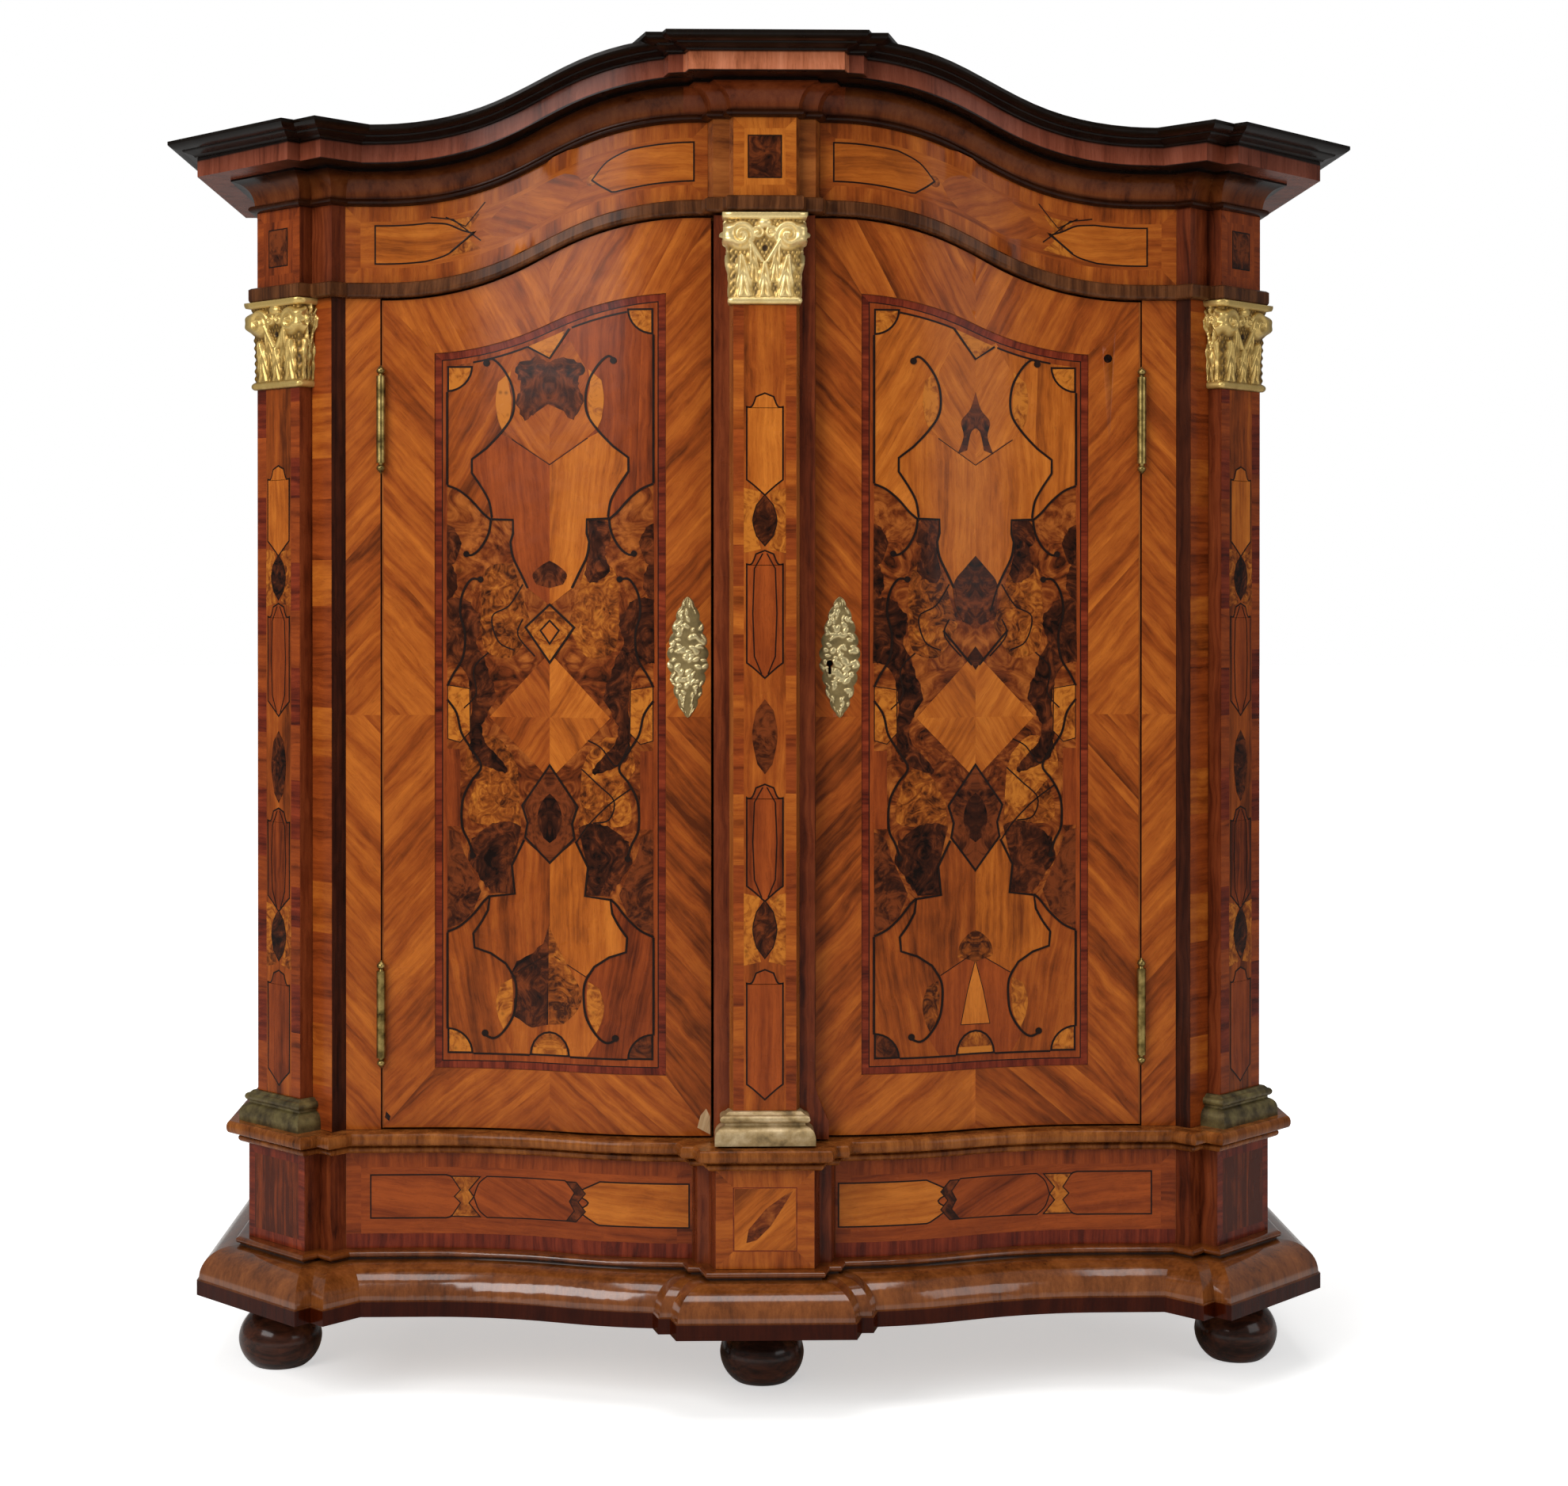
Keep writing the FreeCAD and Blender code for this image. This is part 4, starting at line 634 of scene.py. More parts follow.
def door_frame_veneer(side, seed):
    """Chevron veneer on a door's stiles and rails, mitred at the corners."""
    name = "left_door_" if side < 0 else "right_door_"
    veneer = Veneer(name + "frame_veneer", seed)
    hinge, meet = DOOR_HINGE - SEAM, (MEETING_EDGE if side < 0 else STRIP_EDGE + 1.0) + SEAM
    outer, inner, middle = PANEL_OUTER + FRAME_LAP, PANEL_INNER - FRAME_LAP, PANEL_AXIS
    low, foot = DOOR_Z + SEAM, PANEL_Z - FRAME_LAP

    def rail(over, under):
        """A piece of the top rail between the door's arch and the panel's."""
        return (arc_points(lambda x: door_outline_top(x, SEAM), *over)
                + arc_points(lambda x: panel_top(x) + FRAME_LAP, *under))

    # Outline, grain and tone of each piece of the right door; the left one is its mirror image.
    for outline, angle, tone, cuts in (
            ([(outer, foot), (hinge, low), (hinge, CHEVRON_Z), (outer, CHEVRON_Z)], 132, 0.0, 7),
            ([(outer, CHEVRON_Z), (hinge, CHEVRON_Z), (hinge, door_outline_top(hinge, SEAM)),
              (outer, panel_top(outer))], 48, 0.05, 7),
            ([(meet, low), (inner, foot), (inner, CHEVRON_Z), (meet, CHEVRON_Z)], 48, -0.28, 7),
            ([(meet, CHEVRON_Z), (inner, CHEVRON_Z), (inner, panel_top(inner)),
              (meet, door_outline_top(meet, SEAM))], 132, -0.02, 7),
            ([(meet, low), (middle, low), (middle, foot), (inner, foot)], 40, 0.05, 5),
            ([(middle, low), (hinge, low), (outer, foot), (middle, foot)], 140, 0.0, 5),
            (rail((meet, middle), (middle, inner)), 118, 0.06, 6),
            (rail((middle, hinge), (outer, middle)), 62, 0.1, 6)):
        veneer.leaf(moved(outline, flip=side), WALNUT, angle if side > 0 else 180.0 - angle, tone,
                    cuts=cuts)
    if side < 0:
        chip = [(-85.5, 420.0), (-106.0, 431.0), (-101.0, 450.0), (-92.0, 461.0), (-86.0, 449.0)]
        veneer.leaf(chip, BARE, 75, 0.2, level=2)
        veneer.leaf([(-611, 434), (-604, 428), (-602, 436), (-609, 444)], DARK_BURL, 90, -0.6, level=2)
    else:
        veneer.leaf(disc(562, 1663, 7.0), DARK_BURL, 90, -0.8, level=2)
    solids = [name + part for part in ("hinge_stile", "meeting_stile", "top_rail", "bottom_rail")]
    veneer.lay(solids, body=name.rstrip("_"), curved=True, **FRONT)


# Right halves of the panel's figures, in millimetres from the panel's middle line and from the floor.
TOP_CURL = bend((104, 1655), (94, 1660), (78, 1646), (63, 1620), (58, 1592), (62, 1566), (80, 1540),
                (103, 1516))
TOP_WAIST = [(127, 1498), (127, 1476)] + bend((112, 1454), (99, 1430), (94, 1401)) + [(60, 1400), (60, 1378)]
TOP_POINT = bend((64, 1364), (60, 1340), (47, 1313), (36, 1290))
LOW_POINT = [(42, 884), (62, 843), (57, 797), (98, 792)]
LOW_WAIST = bend((101, 770), (112, 750), (125, 732)) + [(123, 709)] + bend((96, 700), (72, 684))
LOW_CURL = bend((72, 684), (57, 658), (55, 630), (60, 600), (76, 574), (92, 563), (108, 569))
HIGH_ARC = bend((167, 1456), (148, 1448), (128, 1432), (110, 1412), (96, 1400))
LOW_ARC = bend((167, 734), (146, 744), (124, 764), (108, 784), (98, 793))
HIGH_HOOK = bend((96, 1400), (100, 1378), (112, 1356), (126, 1344), (138, 1344))
SIDE_HOOK = bend((112, 1303), (128, 1304), (142, 1282), (146, 1250), (138, 1215), (142, 1178), (158, 1150),
                 (167, 1132))
LONG_SCROLL = bend((167, 1110), (152, 1088), (144, 1056), (128, 1030), (112, 1002), (128, 978), (142, 948),
                   (143, 905), (132, 880), (124, 856))
HEAD_SLIVER = (bend((63, 1640), (66, 1615), (62, 1592), (66, 1562), (78, 1546))
               + bend((84, 1560), (88, 1592), (84, 1622)))
FOOT_SLIVER = bend((62, 660), (60, 630), (64, 600), (76, 578)) + bend((84, 596), (88, 622), (80, 650))
SIDE_CLOUD = (bend((167, 1268), (148, 1276), (126, 1262), (112, 1236), (119, 1202), (106, 1172), (95, 1142),
                   (88, 1110))
              + bend((100, 1088), (112, 1062), (102, 1036), (78, 1012), (72, 992), (100, 1000), (126, 1018),
                     (131, 1052), (127, 1102), (136, 1148), (150, 1166), (167, 1170)))
WAIST_CLOUD = bend((62, 1398), (92, 1396), (98, 1372), (90, 1344), (96, 1318), (78, 1300), (58, 1306),
                   (66, 1340))
LOW_CLOUD = bend((46, 904), (70, 914), (100, 906), (126, 884), (132, 852), (116, 824), (100, 806)) + [
    (98, 796), (60, 798), (64, 842)]
HOOK_CLOUD = bend((167, 1392), (150, 1380), (146, 1352), (158, 1326), (150, 1300), (160, 1276), (167, 1268))
CORNER_CLOUD = (bend((167, 900), (150, 892), (140, 862), (128, 836), (112, 800))
                + bend((126, 766), (146, 748), (167, 740)))
BLOCK = [(130, 1128), (167, 1134), (167, 1046), (146, 1040), (129, 1058)]
PALE_PATCH = bend((52, 1000), (70, 1036), (98, 1052), (128, 1046), (136, 1000), (110, 968), (72, 934),
                  (50, 948))
RED_PATCH = bend((50, 948), (76, 990), (104, 1000), (124, 968), (132, 920), (104, 908), (66, 914), (46, 900))
CROWN_FLAME = (bend((0, 1606), (9, 1578), (24, 1558), (20, 1534), (30, 1506))
               + bend((14, 1512), (8, 1540), (0, 1548)))
NET_LINES = [bend(*path) for path in (
    ((44, 884), (64, 912), (96, 944), (134, 972)), ((52, 1000), (78, 976), (104, 950), (96, 920), (70, 914)),
    ((62, 1046), (84, 1034), (108, 1006), (128, 1040)), ((100, 1186), (124, 1160), (120, 1120), (140, 1096)),
    ((44, 1296), (66, 1262), (94, 1244), (84, 1204), (58, 1190)), ((24, 1180), (52, 1214), (44, 1240)))]
# Right halves of the dark flames down the middle of the panels.
HEAD_FLAME = bend((0, 1652), (26, 1660), (56, 1644), (46, 1616), (54, 1590), (40, 1560), (22, 1572)) + [
    (0, 1584)]
FOOT_FLAME_DARK = ([(-2, 748)] + bend((-12, 716), (-34, 700), (-62, 676), (-54, 640), (-60, 606), (-30, 582))
                   + [(-2, 588)])
FOOT_FLAME_PALE = [(-2, 748), (-2, 588)] + bend((22, 590), (44, 612), (52, 640), (34, 676), (14, 712))
LEFT_DROP = bend((0, 1334), (14, 1326), (28, 1312), (22, 1296)) + [(0, 1290)]
RIGHT_DROP = bend((0, 1342), (18, 1322), (36, 1298), (34, 1262), (20, 1236)) + [(0, 1226)]
FOOT_KNOT = bend((0, 738), (12, 732), (26, 716), (30, 696)) + [(8, 690), (0, 686)]
FOOT_SPIKE = [(0, 692), (14, 640), (25, 586), (0, 586)]
WAIST_FIELD = bend((60, 1330), (104, 1320), (112, 1250), (104, 1190), (60, 1180), (30, 1230))
DOTS = ((103, 1653, 5.5), (106, 571, 5.5), (136, 1345, 5.0), (113, 1304, 5.0), (126, 858, 5.0))


def door_panel_veneer(side, seed):
    """The panel's strapwork, burl clouds and lozenges, inside a dark red border."""
    name = "left_door_" if side < 0 else "right_door_"
    veneer = Veneer(name + "panel_marquetry", seed)
    centre = side * PANEL_AXIS
    low = PANEL_Z + 24.0

    def top_at(local, drop=22.0):
        return panel_top(abs(centre + local), drop)

    def patch(outline, finish_name, grain=90, tone=0.0, level=3, sides=(1, -1), rim=0.0, tilt=0.0):
        for flip in sides:
            veneer.leaf(moved(outline, centre, flip=flip), finish_name, grain, tone + tilt * flip,
                        level=level, axis=centre, bands=[(rim, LINE, 0.0)] if rim else ())

    def whole(outline, finish_name, **options):
        patch(outline, finish_name, sides=(1,), **options)

    outer, inner, foot = PANEL_OUTER - PANEL_GAP, PANEL_INNER + PANEL_GAP, PANEL_Z + PANEL_GAP
    head = arc_points(lambda x: panel_top(x, 0.5), inner, outer)
    outline = moved([(outer, foot), (inner, foot)] + head, flip=side)
    veneer.leaf(outline, PLUM, 90, 0.1, bands=[(11.0, BAND, None), (1.8, LINE, 0.0)], axis=centre)

    # Grounds: crown, burl in the middle, foot. The left half of each leaf is the redder one.
    for flip in (1, -1):
        arch = arc_points(top_at, flip * PANEL_EDGE, 0.0, 10)
        crown = [(0, 1400)] + moved(HIGH_ARC[::-1], flip=flip) + arch
        if side < 0:
            kind, grain, tone = (PLUM, 88, 0.0) if flip > 0 else (WALNUT, 62, -0.2)
        else:
            kind, grain, tone = (GOLDEN, 88, -0.1) if flip > 0 else (GOLDEN, 60, 0.05)
        veneer.leaf(moved(crown, centre), kind, grain, tone, level=1, cuts=2)
        foot = [(0, low), (0, 796)] + moved(LOW_ARC[::-1], flip=flip) + [(flip * PANEL_EDGE, low)]
        tone = {(-1, 1): -0.2, (-1, -1): -0.55, (1, 1): -0.1, (1, -1): -0.25}[(side, flip)]
        veneer.leaf(moved(foot, centre), WALNUT if side > 0 or flip < 0 else PLUM, 80 * flip, tone, level=1)
    middle = both([(0, 1400)] + HIGH_ARC[::-1] + LOW_ARC + [(0, 793)])
    veneer.leaf(moved(middle, centre), CLOUDS, 20, 0.0, level=1, axis=centre)
    patch(box_of(146, PANEL_EDGE, 905, 1030), PLUM, tone=-0.05, level=2, tilt=0.1)
    patch(WAIST_FIELD, BURL, tone=-0.25, level=2, tilt=0.15)

    # Burl clouds, near black, with pale and red patches between them
    patch(ragged(SIDE_CLOUD, 2.0), DARK_BURL, tone=-0.2, level=3.4)
    patch(ragged(WAIST_CLOUD, 2.4), DARK_BURL, tone=-0.1, level=3.6, sides=(1,) if side < 0 else (1, -1))
    patch(ragged(HOOK_CLOUD, 2.2), DARK_BURL, tone=-0.15, level=3.2)
    patch(CORNER_CLOUD, DARK_BURL, tone=0.3, level=2)
    patch(ragged(PALE_PATCH, 1.5), BURL, tone=0.15 * side, level=2.8, sides=(1,) if side > 0 else (1, -1),
          tilt=0.1)
    patch(RED_PATCH, BURL, tone=-0.2 if side > 0 else -0.1, level=2.4)
    patch(ragged(LOW_CLOUD, 2.2), DARK_BURL, tone=-0.15, level=3.4)
    patch(BLOCK, BURL, tone=0.4, level=4, rim=1.4)
    for path in NET_LINES if side > 0 else NET_LINES[:3]:
        veneer.line(moved(path, centre), 2.2, 5)
    for path in NET_LINES[3:]:
        veneer.line(moved(path, centre, flip=-1), 2.2, 5)

    # Great lozenge in quarters
    for flip in (1, -1):
        for tip, angle in ((1186.0, 58), (982.0, -58)):
            patch([(0, tip), (98, 1082), (0, 1082)], GOLDEN if flip > 0 or side > 0 else WALNUT, grain=angle,
                  tone=(0.12 if flip > 0 else -0.1) + (0.05 if tip > 1100 else -0.05), level=4, sides=(flip,))

    # Cartouches, each in two halves
    head_half = [(0, 1488), (62, 1530), (82, 1540)] + TOP_CURL[-5:] + TOP_WAIST + TOP_POINT + [(0, 1262)]
    foot_half = [(0, 850)] + LOW_POINT + LOW_WAIST + [(58, 668), (0, 704)]
    crown_tile = [(0, 1668), (34, 1686), (60, 1640)] + TOP_CURL[15:30] + [(62, 1532), (0, 1490)]
    foot_tile = [(0, 702), (58, 667)] + LOW_CURL[4:22] + [(60, low + 2), (0, low + 2)]
    for flip in (1, -1):
        kind = GOLDEN if side > 0 or flip > 0 else PLUM
        head_tone = 0.0 if flip > 0 else -0.15 if side > 0 else 0.12
        foot_tone = -0.3 if side > 0 or flip < 0 else -0.15
        patch(head_half, kind, 90 if side > 0 else 84, head_tone, 4, (flip,))
        patch(foot_half, GOLDEN if flip > 0 else WALNUT, 90, foot_tone, 4, (flip,))
        patch(crown_tile, GOLDEN if side > 0 else WALNUT, 58, -0.05 + 0.06 * flip, 3, (flip,))
        patch(foot_tile, PLUM if side > 0 else WALNUT, 90, 0.25 if flip > 0 else 0.05, 3, (flip,))
    veneer.line(moved([(-62, 1530), (0, 1488), (62, 1530)], centre), 1.4, 5)
    veneer.line(moved([(-58, 668), (0, 703), (58, 668)], centre), 1.4, 5)

    # Dark flames at the head, the waist and the foot
    if side < 0:
        whole(ragged(both(HEAD_FLAME), 2.6), DARK_BURL, level=5)
        whole(both(LEFT_DROP), DARK_BURL, level=6)
        whole(ragged(FOOT_FLAME_DARK, 2.2), DARK_BURL, tone=-0.1, level=5)
        whole(FOOT_FLAME_PALE, BURL, tone=-0.3, level=5)
    else:
        whole(both(CROWN_FLAME), DARK_BURL, level=5)
        whole(both(RIGHT_DROP), DARK_BURL, level=6)
        whole(both(FOOT_KNOT), BURL, tone=-0.2, level=5)
        whole(both(FOOT_SPIKE), GOLDEN, tone=0.15, level=5, rim=1.2)

    # Small lozenges
    if side < 0:
        whole([(0, 1266), (42, 1227), (0, 1167), (-42, 1227)], BURL, tone=0.2, level=7, rim=3.6)
        whole([(0, 1240), (17, 1222), (0, 1198), (-17, 1222)], GOLDEN, tone=0.3, level=8, rim=3.0)
    else:
        whole([(0, 1196), (13, 1178), (0, 1158), (-13, 1178)], DARK_BURL, tone=-0.3, level=7)
        for flip in (1, -1):
            veneer.line(moved([(36, 1290), (20, 1236)], centre, flip=flip), 3.0, 6)
            veneer.line(moved([(54, 1222), (6, 1166)], centre, flip=flip), 3.4, 6)
    whole([(0, 1008), (47, 940), (38, 912), (42, 888), (0, 846 if side < 0 else 832), (-42, 888), (-38, 912),
           (-47, 940)], DARK_BURL, tone=0.35, level=7, rim=3.4)
    whole(both(bend((0, 960), (14, 944), (20, 916), (10, 888)) + [(0, 880)]), DARK_BURL, tone=-0.3, level=8)

    # Slivers of pale burl inside the curls, then the dark lines
    patch(HEAD_SLIVER, BURL, tone=0.55, level=4)
    patch(FOOT_SLIVER, BURL, tone=0.4, level=4, sides=(1,))
    patch(FOOT_SLIVER, BURL, tone=0.4 if side < 0 else -0.4, level=4, sides=(-1,))
    for flip in (1, -1):
        high = top_at(flip * PANEL_EDGE)
        for path in ([(PANEL_EDGE, 1457), (PANEL_EDGE, high - CORNER)],
                     [(PANEL_EDGE, 733), (PANEL_EDGE, low + 40)], TOP_CURL + TOP_WAIST + TOP_POINT,
                     LOW_POINT + LOW_WAIST[:-1] + LOW_CURL, HIGH_ARC, LOW_ARC, HIGH_HOOK, SIDE_HOOK,
                     LONG_SCROLL):
            veneer.line(moved(path, centre, flip=flip), 3.6, 8)
        for x, z, radius in DOTS:
            veneer.leaf(moved(disc(x, z, radius), centre, flip=flip), LINE, level=9)
        for z, way in ((high, -1), (low, 1)):
            corner = [(flip * PANEL_EDGE, z)]
            for t in (i * math.pi / 16 for i in range(9)):
                corner.append((flip * (PANEL_EDGE - CORNER * math.sin(t)), z + way * CORNER * math.cos(t)))
            dark = way > 0 and flip * side < 0
            veneer.leaf(moved(corner, centre), DARK_BURL if dark else BURL, 90, 0.2 if dark else 0.45,
                        level=4, bands=[(3.2, LINE, 0.0)], axis=centre)
        veneer.line(moved(arc_points(top_at, flip * (PANEL_EDGE - CORNER), flip * 36, 6), centre), 3.0, 4)
        veneer.line(moved([(flip * (PANEL_EDGE - CORNER), low), (flip * 33, low)], centre), 3.0, 4)
    notch = [(-36, top_at(-36)), (0, top_at(0) - 34), (32, top_at(32))]
    veneer.leaf(moved(notch, centre), BURL, 90, 0.5, level=4, axis=centre)
    veneer.line(moved(notch, centre), 3.4, 8)
    arch = [(33 * -math.cos(t), low + 40 * math.sin(t)) for t in [i * math.pi / 10 for i in range(11)]]
    whole(arch, BURL, tone=0.1, level=6, rim=3.2)
    whole(box_of(-27, 27, low + 3, low + 13), BURL, tone=0.6, level=7)
    veneer.lay([name + "panel"], body=name.rstrip("_"), curved=True, **FRONT)


def strip_stack(veneer, x0, x1, z0, z1, size, finishes, grain=0.0):
    """Cross-banded pieces of unequal length stacked up a narrow face."""
    z = z0
    index = 0
    while z < z1 - 1:
        end = min(z1, z + size * veneer.random.uniform(0.7, 1.3))
        veneer.leaf(box_of(x0, x1, z, end), finishes[index % len(finishes)], grain,
                    veneer.random.uniform(-0.2, 0.2))
        z, index = end, index + 1


def pilaster_figures(veneer, half, low, high, narrow, shade=0.0):
    """Cartouches and lenses down a pilaster, between cross-banded edges. shade is painted shade: it is added
    to the tone of the field and its figures, and a shaded pilaster takes the darker cross-banding at its
    edges.
    """
    height = high - low
    field = half - narrow

    def level_at(share):
        return low + height * share

    edges = [PLUM, WALNUT] if shade == 0.0 else [PLUM, BAND]
    strip_stack(veneer, -half + 0.5, -field, low + 0.5, high - 0.5, 90, edges)
    strip_stack(veneer, field, half - 0.5, low + 0.5, high - 0.5, 90, edges)
    veneer.leaf(box_of(-field, field, low + 0.5, high - 0.5), WALNUT, 90, -0.05 + shade)
    for start, end, finish_name, tone in ((0.885, 0.772, GOLDEN, 0.3), (0.690, 0.545, PLUM, 0.35),
                                          (0.400, 0.268, PLUM, 0.0), (0.170, 0.022, PLUM, 0.15)):
        top, bottom, inner = level_at(start), level_at(end), field * 0.9
        step = min(14.0, field * 0.4)
        head = bend((inner * 0.5, top + 2), (inner * 0.72, top - step), (inner, top - step))
        tail = bend((inner, bottom + step), (inner * 0.6, bottom + 4), (0, bottom - 12))
        veneer.figure(both([(0, top + 8)] + head + tail), finish_name, 2.6, tone=tone + shade, level=2)
    for start, end in ((0.690, 0.545), (0.400, 0.268)):
        top, bottom, wide = level_at(start), level_at(end), field * 0.5
        for sign in (1, -1):
            path = [(wide * 0.2, top + 2), (wide, top - 22), (wide * 1.15, (top + bottom) / 2),
                    (wide, bottom + 24), (wide * 0.3, bottom - 4)]
            veneer.line(moved(path, flip=sign), 2.0, 4)
    for start, end in ((0.765, 0.700), (0.262, 0.188)):
        top, bottom, wide = level_at(start), level_at(end), field * 0.60
        middle = (top + bottom) / 2
        for sign in (1, -1):
            cheek = [(field, top + 10), (wide * 0.3, top + 4), (wide, middle), (wide * 0.3, bottom - 4),
                     (field, bottom - 10)]
            veneer.leaf(moved(cheek, flip=sign), BURL, 90, 0.4 + shade, level=1)
        lens = both([(0, top)] + bend((wide * 0.7, top - (top - middle) * 0.4), (wide, middle),
                                      (wide * 0.7, bottom + (middle - bottom) * 0.4)) + [(0, bottom)])
        veneer.figure(lens, DARK_BURL, 1.6, level=3, tone=shade)
    knot = level_at(0.465)
    drop = [(0, knot + 58)] + bend((14, knot + 40), (20, knot), (12, knot - 44)) + [(0, knot - 60)]
    veneer.leaf(both(drop), DARK_BURL, 90, 0.35 + shade, level=2)


def compartments(veneer, parts, middle, half):
    """Fields with shaped ends in a long band; parts are right-hand outlines to be mirrored."""
    for outline, finish_name, grain, tone, level, line in parts:
        for side in (1, -1):
            veneer.leaf(in_band(outline, side, middle, half), finish_name, grain if side > 0 else 180 - grain,
                        tone, level=level, bands=[(line, LINE, 0.0)] if line else ())


FRIEZE_FIELDS = [
    ([(627, 1), (627, -1), (545, -1)] + bend((545, -1), (510, -0.82), (486, -0.4), (462, 0.06))
     + bend((466, 0.0), (486, 0.34), (510, 0.8), (540, 1)), GOLDEN, 5, 0.0, 2, 2.6),
    ([(110, 1), (110, -1), (236, -1)] + bend((243, -0.95), (262, -0.45), (276, 0.0))
     + bend((272, 0.12), (250, 0.7), (215, 1)), GOLDEN, 5, 0.08, 2, 2.6),
    (bend((452, 0.0), (430, 0.6), (400, 0.95)) + [(330, 0.95)] + bend((318, 0.9), (298, 0.5), (286, 0.0))
     + bend((286, 0.0), (298, -0.5), (318, -0.9)) + [(400, -0.95)]
     + bend((400, -0.95), (430, -0.6), (452, 0.0)), WALNUT, 35, 0.0, 1, 0.0),
]
PLINTH_FIELDS = [
    ([(635, 1), (635, -1), (512, -1)] + bend((505, -0.95), (486, -0.5), (480, 0.0), (486, 0.5), (505, 0.95))
     + [(512, 1)], PLUM, 8, 0.3, 2, 2.4),
    ([(118, 1), (118, -1), (262, -1)] + bend((268, -0.95), (296, -0.4), (282, 0.0), (300, 0.4), (262, 1)),
     GOLDEN, 5, 0.1, 2, 2.4),
    (bend((468, 0.0), (460, 0.6), (446, 0.95)) + [(318, 0.95)] + bend((316, 0.9), (296, 0.4), (304, 0.0),
                                                                  (296, -0.4), (316, -0.9))
     + [(446, -0.95)] + bend((446, -0.95), (460, -0.6), (468, 0.0)), PLUM, 30, 0.1, 1, 2.0),
]
KNOT_FIELD = [(505, 0.95), (490, 0.3), (500, 0.0), (490, -0.3), (505, -0.95), (455, -0.95), (474, -0.3),
              (466, 0.0), (474, 0.3), (455, 0.95)]
SMALL_KNOT = [(300, 0.9), (284, 0.4), (296, 0.0), (284, -0.4), (300, -0.9), (318, -0.9), (304, -0.4),
              (312, 0.0), (304, 0.4), (318, 0.9)]


def new_piece(name, bm, finish_name, body, replaced):
    """A finished mesh as a piece that rides on a body and takes a solid's place."""
    piece = linked(name, bm, finish_name)
    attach(piece, body)
    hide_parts(replaced)
    return piece


def bump_at(x, z, cx, cz, wide, tall):
    """A rounded mound, 1 at its middle and 0 beyond its edge."""
    return max(1.0 - ((x - cx) / wide) ** 2 - ((z - cz) / tall) ** 2, 0.0) ** 0.5


def acanthus(x, z, cx, foot, tall, wide, lean=0.0):
    """Relief of one upright leaf with lobes, a midrib and a curled tip, in millimetres across the face."""
    v = (z - foot) / tall
    if not 0.0 <= v <= 1.0:
        return 0.0
    u = (x - cx - lean * v ** 2) / wide
    edge = (1.0 - v ** 3.0) ** 0.5 * (0.90 + 0.12 * math.cos(v * math.pi * 6.0))
    if abs(u) >= edge:
        return 0.0
    body = (1.0 - (u / edge) ** 2) ** 0.5
    ribs = 0.86 + 0.14 * math.cos((abs(u) * 2.2 + v * 2.0) * math.pi * 2.0)
    midrib = 1.0 - 0.3 * math.exp(-(u / 0.12) ** 2)
    return body * ribs * midrib * (0.62 + 0.52 * v ** 2)


def volute(x, z, cx, cz, radius, turn):
    """Relief of a scroll: a raised spiral band round an eye."""
    dx, dz = (x - cx) * turn, z - cz
    r = math.hypot(dx, dz) / radius
    if r >= 1.0:
        return 0.0
    spiral = math.cos(2.0 * math.pi * (r * 1.5 - math.atan2(dz, dx) / (2.0 * math.pi)))
    dome = (1.0 - r ** 3) ** 0.5
    return dome * (0.80 + 0.24 * spiral) + (0.28 * (1.0 - (r / 0.24) ** 2) if r < 0.24 else 0.0)


def relief_floor(t):
    """The bell that the leaves of a capital stand on, in millimetres."""
    return 0.5 + 8.0 * max(t - 0.3, 0.0) ** 1.6


def capital_relief(a, t):
    """Depth of the carving, in millimetres, at a across the face from -1 to 1 and t up from 0 to 1."""
    x, z = abs(a) * CARVING_HALF, t * CAPITAL_HEIGHT
    bell = relief_floor(t)
    if t < 0.085:
        return 6.0 * max(1.0 - ((t - 0.042) / 0.046) ** 2, 0.0) ** 0.5 + 1.5
    if t > 0.93:
        return 13.5 + 2.5 * math.sin(min((t - 0.93) / 0.05, 1.0) * math.pi / 2)
    relief = 2.6 + 0.9 * math.cos(x * 0.9) * math.cos(z * 0.5)
    for cx, foot, tall, wide, lean, high in (
            (33.0, 13.0, 66.0, 17.5, 5.0, 12.5), (0.0, 13.0, 54.0, 14.5, 0.0, 11.5),
            (16.5, 34.0, 62.0, 13.0, 6.0, 9.5)):
        relief = max(relief, high * acanthus(x, z, cx, foot, tall, wide, lean))
    relief = max(relief, 14.0 * volute(x, z, 38.0, 108.0, 24.0, 1))
    relief = max(relief, 9.5 * volute(x, z, 11.0, 112.0, 12.5, -1))
    stem = abs(x - (3.0 + 0.62 * max(z - 66.0, 0.0)))
    if 66.0 < z < 104.0 and stem < 5.0:
        relief = max(relief, 9.0 * (1 - (stem / 5.0) ** 2) ** 0.5)
    relief = max(relief, 11.0 * bump_at(x, z, 0.0, 127.0, 13.0, 9.0))
    if math.hypot(x, z - 88.0) < 4.5:
        relief = 0.0
    return bell + relief


